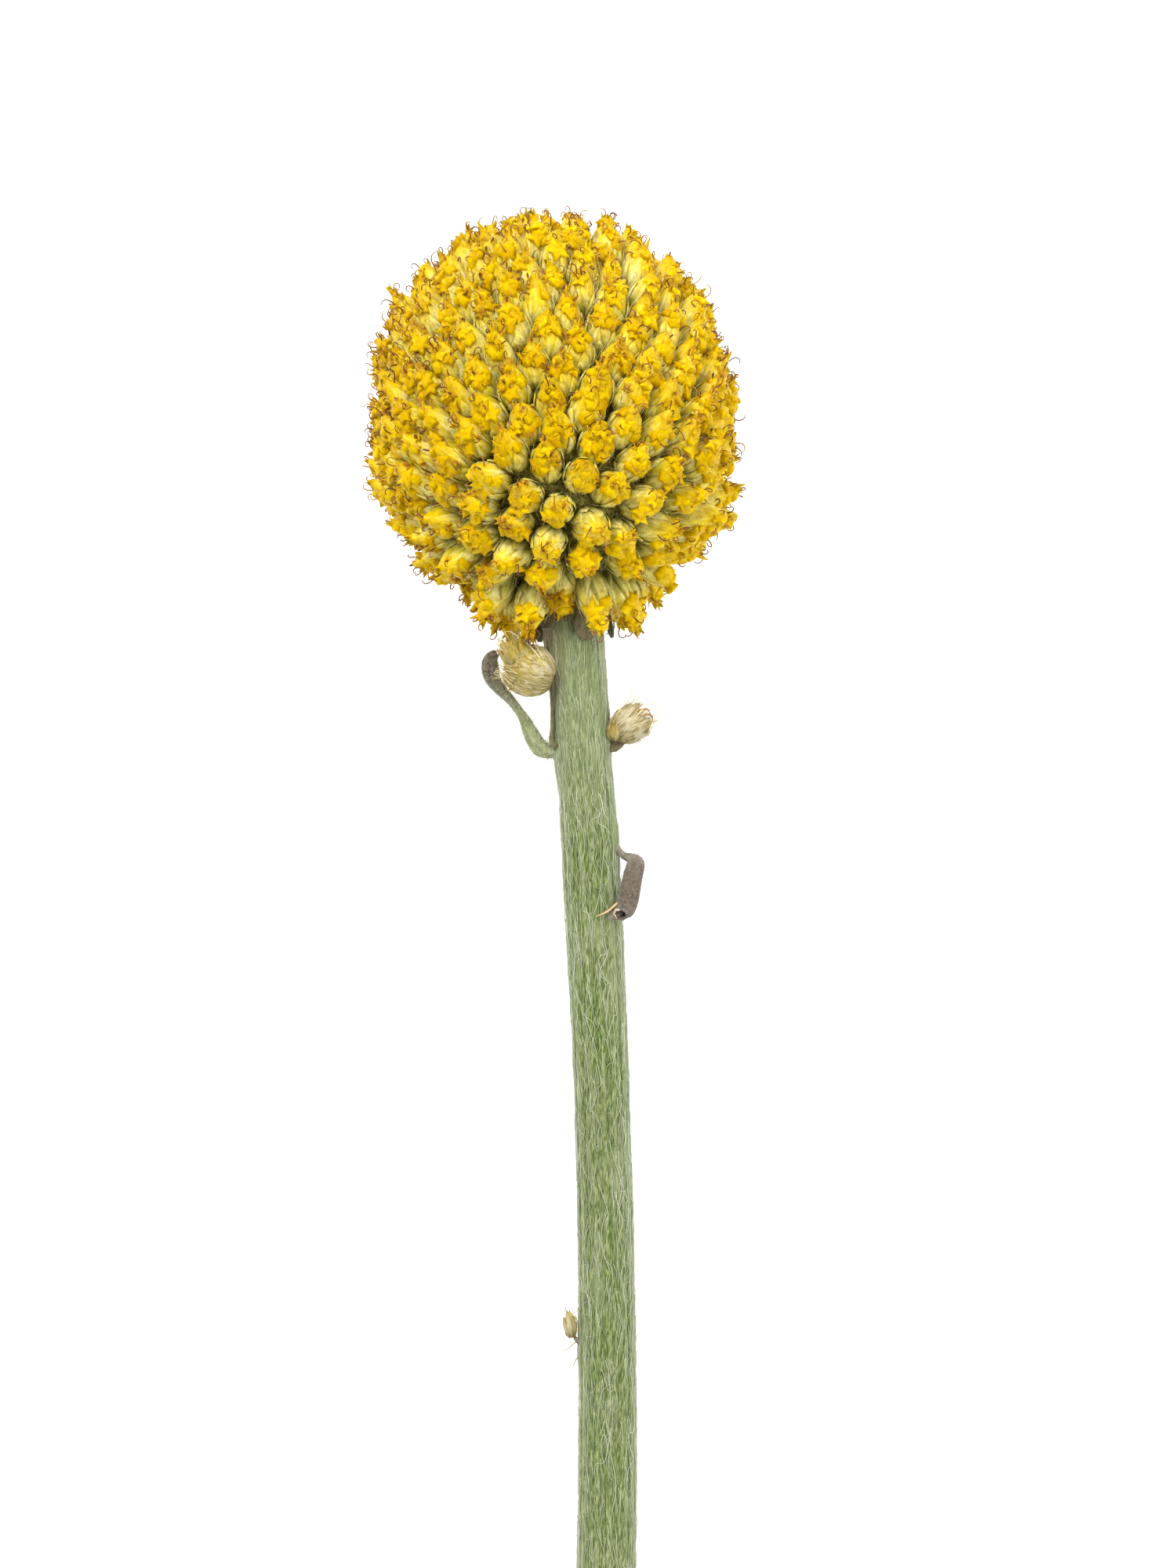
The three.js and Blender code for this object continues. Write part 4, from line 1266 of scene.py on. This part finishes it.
# %% Shape of the dead leaf
dead_down = plain_finish("dead_down", 0.8, (0.0, 126, 118, 102), (1.0, 176, 170, 150), sheen=0.3)
bristle_skin = plain_finish("bristle_skin", 0.5, (0.0, 204, 170, 122), (1.0, 220, 188, 140))
straw_lip = plain_finish("straw_lip", 0.6, (0.0, 196, 178, 150), (1.0, 222, 204, 178))
OUTSIDE_ROWS, INSIDE_ROWS, ROLL_COLUMNS = 60, 9, 36
INSIDE_SHARE = np.array([0.9, 0.82, 0.74, 0.7, 0.66, 0.62, 0.5, 0.3, 0.05])[:, None, None]
INSIDE_DEPTH = np.array([-0.02, 0.03, 0.12, 0.25, 0.4, 0.55, 0.65, 0.7, 0.7])[:, None, None]
dead_route = beside_stem(
    np.array([29.3, 29.6, 29.98, 30.17, 30.45, 30.9, 31.53, 32.27, 33.0, 33.6, 34.05, 34.25]),
    np.array([1.74, 1.95, 2.32, 2.79, 3.12, 3.04, 2.85, 2.69, 2.52, 2.3, 2.06, 1.84]),
    np.array([0.5, 0.65, 0.75, 0.85, 1.0, 1.2, 1.4, 1.6, 1.8, 2.0, 2.3, 2.62]),
)
dead_width = (
    *((0, 0.6), (0.1, 0.42), (0.2, 0.56), (0.29, 1.0), (0.36, 1.26)),
    *((0.6, 1.36), (0.85, 1.36), (0.95, 1.2), (1, 1.0)),
)
dead_thick = ((0, 0.5), (0.2, 0.5), (0.36, 0.8), (0.8, 0.95), (1, 0.85))


def wrinkled(angle, s):
    """A circle with seven wrinkles that wander along the piece, and one deep fold on its upper side."""
    wrinkles = 0.06 * np.cos(7 * angle + 2.5 * s) + 0.035 * np.cos(12 * angle - 4 * s + 1)
    fold = 0.2 * np.exp(-(((angle - 2.1 + 0.5 * s) / 0.22) ** 2)) * np.clip(4 * (s - 0.3), 0, 1)
    girth = 1 + wrinkles - fold
    return np.cos(angle) * girth, np.sin(angle) * girth


def dead_leaf_skin():
    """Rings along the outside, then the last ring drawn together and pushed back to make the inside."""
    outside = carried(dead_route, OUTSIDE_ROWS, ROLL_COLUMNS, dead_width, dead_thick, wrinkled)
    end = outside[-1]
    middle = end.mean(0)
    inwards = unit(outside[-4].mean(0) - middle)
    inside = middle + (end - middle)[None] * INSIDE_SHARE + inwards * INSIDE_DEPTH
    return np.concatenate([outside, inside])


# %% Build the dead leaf
dead_skin = dead_leaf_skin()
dead_age = np.clip(1.2 - 1.8 * np.abs(np.linspace(0, 1, OUTSIDE_ROWS) - 0.7), 0, 0.9)
dead_age = np.concatenate([dead_age, np.ones(INSIDE_ROWS)])[:, None]
make_tubes("leaf_dead", "dead_leaf", dead_skin, dead_felt, age=dead_age)
add_fuzz("leaf_dead_felt", "dead_leaf", dead_skin[:OUTSIDE_ROWS], 800, 0.16, dead_down, 2)

# %% Build the dead leaf's bristle, flap and lip
BRISTLE_ROWS, FLAP_ROWS, FLAP_COLUMNS = 12, 16, 16
LIP_FROM, LIP_POINTS = 10, 15
BRISTLE_ROUTE = [(33.4, 1.7, 2.1), (33.7, 1.36, 2.2), (34.05, 0.86, 2.26), (34.35, 0.1, 2.2)]
FLAP_ROUTE = [(33.75, 2.1, 2.3), (33.95, 1.75, 2.2), (34.2, 1.35, 2.05), (34.4, 1.0, 1.95)]
bristle = paths_beside([BRISTLE_ROUTE], BRISTLE_ROWS)
make_strands("leaf_dead_bristle", "dead_leaf", bristle, 0.1, bristle_skin, columns=8, thin=0.15)
flap_skin = carried(
    beside_stem(*np.array(FLAP_ROUTE).T),
    FLAP_ROWS,
    FLAP_COLUMNS,
    width=((0, 0.5), (0.4, 0.85), (0.8, 0.75), (1, 0.3)),
    thick=((0, 0.35), (0.7, 0.3), (1, 0.2)),
    section=round_section,
    wide=(0.0, 1.0, 0.0),
)
make_tubes("leaf_dead_flap", "dead_leaf", flap_skin, dead_felt, age=np.linspace(1.0, 0.2, FLAP_ROWS)[:, None])
lip_ring = dead_skin[OUTSIDE_ROWS][np.arange(LIP_FROM, LIP_FROM + LIP_POINTS) % ROLL_COLUMNS]
lip = smooth_path(lip_ring, 2 * LIP_POINTS)
make_strands("leaf_dead_lip", "dead_leaf", lip, 0.09, straw_lip, columns=6, thin=0.3)

# %% [markdown]
# ## Dry buttons
#
# Two side shoots ended in small flower heads that have dried. What remains is a ball of papery bracts, with
# fine fibres that run from its foot to a ragged mouth. Bracts overlap in three whorls, each a thin closed
# sheet, round a plain inner ball. Loose fibres lie on them and stand out at the mouth.

# %% Finish of the papery bracts
PAPER = ((0.32, 112, 96, 30), (0.46, 162, 144, 52), (0.6, 198, 182, 84), (0.74, 240, 232, 170))
PAPER_SHADE = ((0.0, 200, 188, 140), (0.3, *WHITE), (0.9, 236, 220, 140))


def papery_finish():
    """Straw paper that lets some light through, with fine streaks along each sheet."""
    finish, tree, shader = new_finish(
        "straw_paper", 0.35, subsurface=0.25, radius=0.6, sheen=0.15, specular=0.5
    )
    streaks = streaks_of(tree, 5.0, 1.2)
    bleached = black_to_white(tree, read(tree, "tint"), 0.3, 1.1)
    paper = mixed(tree, bleached, ramp(tree, streaks, *PAPER), colour(214, 200, 160))
    shade = ramp(tree, read(tree, "along"), *PAPER_SHADE)
    tree.links.new(shaded_by(tree, paper, shade), shader.inputs["Base Color"])
    bumped(tree, shader, streaks, 0.08, 0.9)
    return finish


straw_paper = papery_finish()
straw_fibre = plain_finish("straw_fibre", 0.4, (0.0, 168, 146, 78), (1.0, 236, 224, 176), specular=0.5)

# %% The sheets of a ball of papery bracts
CUP_ROWS, CUP_SIDE, WHORLS = 12, 6, 3


def ball_girth(share):
    """Girth of a ball that is a little open at its mouth: sin(pi (0.07 + 0.86 s))^0.62."""
    return np.sin(np.pi * np.clip(0.07 + 0.86 * share, 0, 1)) ** 0.62


def papery_bracts(radius, bracts_in, item, flare):
    """Sheets on the ball from foot to mouth, whorl over whorl, 0.32-0.66 sin(pi (0.1 + 0.84 s))^0.6 radians
    to either side. They are crumpled by two waves, and tips flare out by up to flare s^5 mm.

    Gives points bract x row x (front side, back side) x 3, in mm across the ball and in shares of its length
    along it, and each point's place across."""
    number = np.arange(bracts_in)
    draw_from = number + 100 * item
    phase = number[:, None, None]
    whorl = (number % WHORLS)[:, None, None]
    s = np.linspace(0, 1, CUP_ROWS)[None, :, None]
    up = (0.74 + 0.34 * chance(draw_from, 101))[:, None, None] * s
    side = np.linspace(-1, 1, CUP_SIDE)
    across = np.concatenate([side, side[::-1]])[None, None, :]
    back = np.concatenate([np.zeros(CUP_SIDE), np.ones(CUP_SIDE)])[None, None, :]
    broad = between(0.32, 0.66, chance(draw_from, 102))[:, None, None]
    half = broad * np.sin(np.pi * (0.1 + 0.84 * s)) ** 0.6
    angle = (number * GOLDEN_TURN)[:, None, None] + half * across
    angle = angle + 0.2 * swing(draw_from, 103)[:, None, None] * s
    flared = flare * chance(draw_from, 104)[:, None, None] ** 2 * s**5
    crumpled = np.sin(7 * s + 4 * across + 2 * phase) + np.sin(13 * s - 5 * across + phase)
    off = 0.04 * whorl - 0.025 * back + 0.03 * (1 - across**2) + 0.045 * radius * crumpled
    distance = radius * ball_girth(np.minimum(up, 1)) + off + flared
    return round_axis(distance, angle, up + 0 * across + 0.04 * s**4 * np.sin(5 * across + phase)), across


# %% Build the balls
FIBRE_ROWS, LINING = 8, 0.06  # the inner ball is smaller by the lining, in mm
LEFT, RIGHT = "dry_button_left", "dry_button_right"
# In each row: the name, the node, the foot and the tip as (below, out, raised), the radius in mm, how many
# bracts and fibres, the item's number, how far tips flare in mm, and how bleached it is.
PAPERY_BALLS = (
    ("dry_ball_left", LEFT, (17.95, -1.72, 1.9), (16.75, -4.7, 1.9), 1.68, 38, 300, 1, 0.6, 0.0),
    ("dry_ball_left_lobe", LEFT, (17.3, -3.4, 2.3), (15.25, -4.65, 2.3), 1.0, 16, 120, 5, 0.9, -0.5),
    ("dry_ball_right", RIGHT, (21.75, 2.3, 0.3), (20.1, 4.35, 0.5), 1.18, 32, 280, 2, 0.6, 0.8),
    ("dry_ball_lobe", RIGHT, (22.05, 2.15, 0.8), (20.85, 2.35, 1.0), 0.48, 8, 30, 4, 0.1, 0.0),
    ("bud_ball", "shrivelled_bud", (63.3, -2.4, 0.3), (61.5, -2.7, 0.3), 0.42, 9, 40, 3, 0.0, 0.5),
)


def ball_fibres(radius, length, fibres_in, item):
    """Fibres that run up the ball 0.1-0.15 mm off it, and stand out at the mouth."""
    fibre = np.arange(fibres_in) + 1000 * item
    s = np.linspace(0, 1, FIBRE_ROWS)[None, :]
    start = between(0.02, 0.75, chance(fibre, 106))[:, None]
    up = start + s * between(0.3, 0.7, chance(fibre, 107))[:, None]
    angle = 2 * np.pi * chance(fibre, 108)[:, None] + 0.5 * swing(fibre, 109)[:, None] * s
    astray = between(0.0, 1.0, chance(fibre, 110) ** 2)[:, None] * np.maximum(0, up - 0.7) * 2.6
    distance = radius * ball_girth(np.minimum(up, 0.98)) + 0.1 + 0.05 * chance(fibre, 111)[:, None] + astray
    return round_axis(distance, angle, length * np.minimum(up, 1.2))


def papery_ball(name, node, foot, tip, radius, bracts_in, fibres_in, item, flare, bleached):
    """The bracts with a plain ball inside them, and the fibres, as two pieces that replace the node."""
    foot, tip = beside_stem(*foot), beside_stem(*tip)
    length = np.linalg.norm(tip - foot)
    standing = frames_along((tip - foot)[None])
    sheets, across = papery_bracts(radius, bracts_in, item, flare)
    inside_s = np.linspace(0, 0.97, CUP_ROWS)[:, None]
    inside_turn = np.arange(2 * CUP_SIDE)[None, :] * np.pi / CUP_SIDE
    inside = round_axis((radius - LINING) * ball_girth(inside_s), inside_turn, inside_s)
    local = np.concatenate([sheets, inside[None]]) * np.array([1, 1, length])
    copy = np.arange(bracts_in + 1)[:, None, None]
    make_tubes(
        name,
        node,
        place(local.reshape(1, -1, 3), foot[None], standing).reshape(local.shape),
        straw_paper,
        across=across + 7 * copy,
        along=np.linspace(0, 1 - 0.6 * bleached, CUP_ROWS)[:, None],
        tint=between(bleached, 1.0, chance(copy + 100 * item, 105)),
    )
    local = ball_fibres(radius, length, fibres_in, item)
    paths = place(local.reshape(1, -1, 3), foot[None], standing).reshape(local.shape)
    make_strands(name + "_fibres", node, paths, 0.022 * radius**0.5, straw_fibre)


for ball_numbers in PAPERY_BALLS:
    papery_ball(*ball_numbers)

# %% [markdown]
# A few longer fibres have come loose and curl round the two large balls, and two brown styles are left on the
# right one. There are so few that each has its own route, given as places beside the stem.

# %% Build the loose fibres and the dry styles
LOOSE_ROWS, DRY_STYLE_ROWS = 24, 12
LOOSE_FIBRES = (
    (LEFT, [(17.6, -2.0, 3.0), (16.4, -2.4, 3.2), (15.3, -3.1, 2.8), (14.9, -3.9, 2.4), (15.3, -4.5, 2.2)]),
    (LEFT, [(17.2, -2.2, 3.4), (16.0, -3.0, 3.4), (15.2, -3.8, 3.0), (14.7, -4.5, 2.6), (14.8, -5.0, 2.3)]),
    (LEFT, [(16.6, -4.6, 3.0), (15.9, -5.2, 2.6), (15.4, -5.3, 2.4), (15.0, -5.1, 2.3), (14.9, -4.7, 2.3)]),
    (RIGHT, [(21.2, 2.4, 1.0), (20.3, 2.6, 1.1), (19.4, 3.1, 1.0), (18.8, 3.8, 0.9), (18.7, 4.3, 0.8)]),
    (RIGHT, [(21.6, 3.4, 1.4), (21.4, 4.2, 1.3), (20.9, 4.9, 1.0), (20.3, 5.3, 0.8), (19.7, 5.2, 0.7)]),
    (RIGHT, [(20.8, 3.6, 1.7), (20.0, 4.3, 1.6), (19.5, 4.9, 1.2), (19.6, 5.4, 0.9), (20.0, 5.7, 0.8)]),
)
DRY_STYLES = (
    [(20.3, 3.9, 1.5), (20.0, 4.3, 1.5), (19.95, 4.7, 1.2), (20.2, 4.85, 0.9)],
    [(20.6, 4.2, 1.4), (20.3, 4.6, 1.4), (20.4, 4.95, 1.1), (20.7, 4.95, 0.9)],
)
for number, (node, stations) in enumerate(LOOSE_FIBRES):
    fibre = paths_beside([stations], LOOSE_ROWS)
    make_strands(f"loose_fibre_{number + 1}", node, fibre, 0.05, straw_fibre, tint=1.0)
dry_styles = paths_beside(DRY_STYLES, DRY_STYLE_ROWS)
make_strands("dry_styles", RIGHT, dry_styles, 0.1, brown_style, tint=(1.0, 0.75))

# %% [markdown]
# The shrivelled bud is the same kind of ball, much smaller. A short dark foot ties it to the stem, and single
# bristles stick out of it.

# %% Build the foot and the bristles of the shrivelled bud
BUD_FOOT_ROWS, BUD_BRISTLE_ROWS = 8, 12
BUD_BRISTLES = (
    [(63.5, -2.05, 0.3), (63.72, -2.36, 0.35), (64.05, -2.7, 0.4), (64.25, -3.18, 0.4)],
    [(64.6, -2.02, 0.3), (64.85, -2.2, 0.35), (65.15, -2.33, 0.4), (65.45, -2.45, 0.4)],
    [(61.6, -2.75, 0.4), (61.4, -2.83, 0.4), (61.15, -2.86, 0.4), (60.95, -2.92, 0.4)],
    [(61.9, -2.5, 0.5), (61.6, -2.3, 0.5), (61.45, -2.1, 0.5), (61.5, -1.9, 0.5)],
)
bud_foot = paths_beside([[(63.65, -1.7, 0.3), (63.5, -2.05, 0.3), (63.2, -2.3, 0.3)]], BUD_FOOT_ROWS)
make_strands("bud_foot", "shrivelled_bud", bud_foot, 0.24, dead_down, columns=10, tint=0.0)
bud_bristles = paths_beside(BUD_BRISTLES, BUD_BRISTLE_ROWS)
make_strands("bud_bristles", "shrivelled_bud", bud_bristles, 0.06, straw_fibre, tint=(0.2, 0.2, 0.5, 0.5))

# %% [markdown]
# ## Small dark scales
#
# Rounded dark scales hang round the neck from under the globe, and one carries the dry button on the right.
# They are carried sections too, flat ones that bulge outwards.

# %% Build the scales
NECK_BELOW, NECK_GAP, FIRST_SCALE = 12.9, 0.5, np.radians(64)
SCALE_ROWS, SCALE_COLUMNS = 22, 24
SCALE_LENGTHS = (2.4, 1.5, 2.1, 2.2, 1.9)


def domed(angle, s):
    """A flat oval that bulges to its outer side."""
    across = np.cos(angle) * (1 + 0.04 * np.sin(9 * angle + 5 * s))
    return across, 0.8 * np.sin(angle) + 0.5 * (1 - across**2)


for i, scale_length in enumerate(SCALE_LENGTHS):
    around = FIRST_SCALE + 2 * np.pi * i / len(SCALE_LENGTHS) + 0.12 * swing(i, 70)
    below = NECK_BELOW + scale_length * np.array([0.0, 0.5, 1.0])
    out = stem_girth(NECK_BELOW) + NECK_GAP + np.array([0.0, 0.05, 0.15])
    scale_skin = carried(
        beside_stem(below, out * np.cos(around), out * np.sin(around)),
        SCALE_ROWS,
        SCALE_COLUMNS,
        width=((0, 1.0), (0.55, 1.85), (0.82, 1.6), (0.94, 1.0), (1, 0.3)),
        thick=((0, 0.4), (0.8, 0.4), (1, 0.2)),
        section=domed,
        wide=(-np.sin(around), 0.0, np.cos(around)),
    )
    scale_age = np.linspace(0.2, 0.9, SCALE_ROWS)[:, None]
    make_tubes(f"neck_scale_piece_{i + 1}", f"neck_scale_{i + 1}", scale_skin, scale_felt, age=scale_age)

# %% Build the scale that carries the dry button
FOOT_ROWS, FOOT_COLUMNS = 18, 18
FOOT_ROUTE = [(22.25, 1.7, 0.15), (22.25, 2.1, 0.2), (22.2, 2.5, 0.2), (22.0, 2.85, 0.25)]
foot_skin = carried(
    beside_stem(*np.array(FOOT_ROUTE).T),
    FOOT_ROWS,
    FOOT_COLUMNS,
    width=((0, 1.3), (0.5, 1.0), (1, 0.4)),
    thick=((0, 0.7), (0.6, 0.8), (1, 0.4)),
    section=grooved,
    wide=(0.0, 1.0, 0.0),
)
foot_age = np.linspace(0.9, 0.4, FOOT_ROWS)[:, None]
make_tubes("shoot_foot_scale", "shoot_foot_right", foot_skin, scale_felt, age=foot_age)

# %% [markdown]
# ## Surface, light and camera
#
# The stem lies on a pale surface under large soft lights. The camera looks straight down on the stem from far
# away, so it hardly widens towards the lens.

# %% Surface
FLOOR_COLUMNS, FLOOR_GLOW = 96, 0.55
FLOOR_RADII = (0.001, 0.2, 0.8)  # metres


def build_floor():
    """A flat disc, 1.6 m across, of matte white that glows a little, as a light table does."""
    finish, tree, shader = new_finish("pale_surface", 0.9, specular=0.1)
    shader.inputs["Base Color"].default_value = (0.9, 0.9, 0.9, 1)
    shader.inputs["Emission Color"].default_value = (1, 1, 1, 1)
    shader.inputs["Emission Strength"].default_value = FLOOR_GLOW
    angle = np.linspace(0, 2 * np.pi, FLOOR_COLUMNS, endpoint=False)
    rings = round_axis(np.array(FLOOR_RADII)[:, None], angle, 0.0).reshape(-1, 3)
    walls, _ = tube_faces(1, len(FLOOR_RADII), FLOOR_COLUMNS)
    mesh = bpy.data.meshes.new("surface")
    mesh.from_pydata(rings.tolist(), [], walls[:, ::-1].tolist() + [list(range(FLOOR_COLUMNS))])
    mesh.materials.append(finish)
    floor = bpy.data.objects.new("surface", mesh)
    bpy.context.scene.collection.objects.link(floor)


build_floor()

# %% Lights
world = bpy.data.worlds.new("studio")
world.use_nodes = True
world.node_tree.nodes["Background"].inputs["Color"].default_value = (1, 1, 1, 1)
world.node_tree.nodes["Background"].inputs["Strength"].default_value = 0.45
bpy.context.scene.world = world


def soft_box(name, place_at, size, power, aim=(0, -0.02, 0.01)):
    """A square area light that faces the aim."""
    lamp = bpy.data.lights.new(name, "AREA")
    lamp.size, lamp.energy = size, power
    holder = bpy.data.objects.new(name, lamp)
    holder.location = place_at
    holder.rotation_euler = (Vector(aim) - Vector(place_at)).to_track_quat("-Z", "Y").to_euler()
    bpy.context.scene.collection.objects.link(holder)
    print(name, "light", power, "W")


soft_box("key", (-0.25, 0.3, 0.55), 0.35, 4.6)
soft_box("fill", (0.4, -0.1, 0.45), 0.5, 2.4)

# %% Camera
VIEW_HEIGHT = 109.1  # mm of the object's plane from the top of the view to its foot
VIEW_DISTANCE = 900.0
AIM_RIGHT, AIM_BELOW = 2.35, 25.1  # the middle of the view, from the globe's centre


def build_camera():
    """Looks square to the stem's slope, with its own up pointing back along the stem."""
    slope = np.arctan2(HEAD_REST_HEIGHT - STEM_RADIUS + STEM_PRESSED, STEM_END)
    up = np.array([0, np.cos(slope), np.sin(slope)])
    back = np.array([0, -np.sin(slope), np.cos(slope)])
    aim = head_centre + np.array([AIM_RIGHT, 0, 0]) - AIM_BELOW * up
    lens = bpy.data.cameras.new("camera")
    lens.lens = lens.sensor_width * VIEW_DISTANCE / VIEW_HEIGHT
    lens.clip_start, lens.clip_end = 0.05, 10
    holder = bpy.data.objects.new("camera", lens)
    turn_to = Matrix(np.stack([[1, 0, 0], up, back], -1).tolist()).to_4x4()
    holder.matrix_world = Matrix.Translation(((aim + VIEW_DISTANCE * back) * MM).tolist()) @ turn_to
    bpy.context.scene.collection.objects.link(holder)
    bpy.context.scene.camera = holder


build_camera()
bpy.context.scene.view_settings.view_transform = "Standard"

# %% The end
bpy.context.view_layer.update()
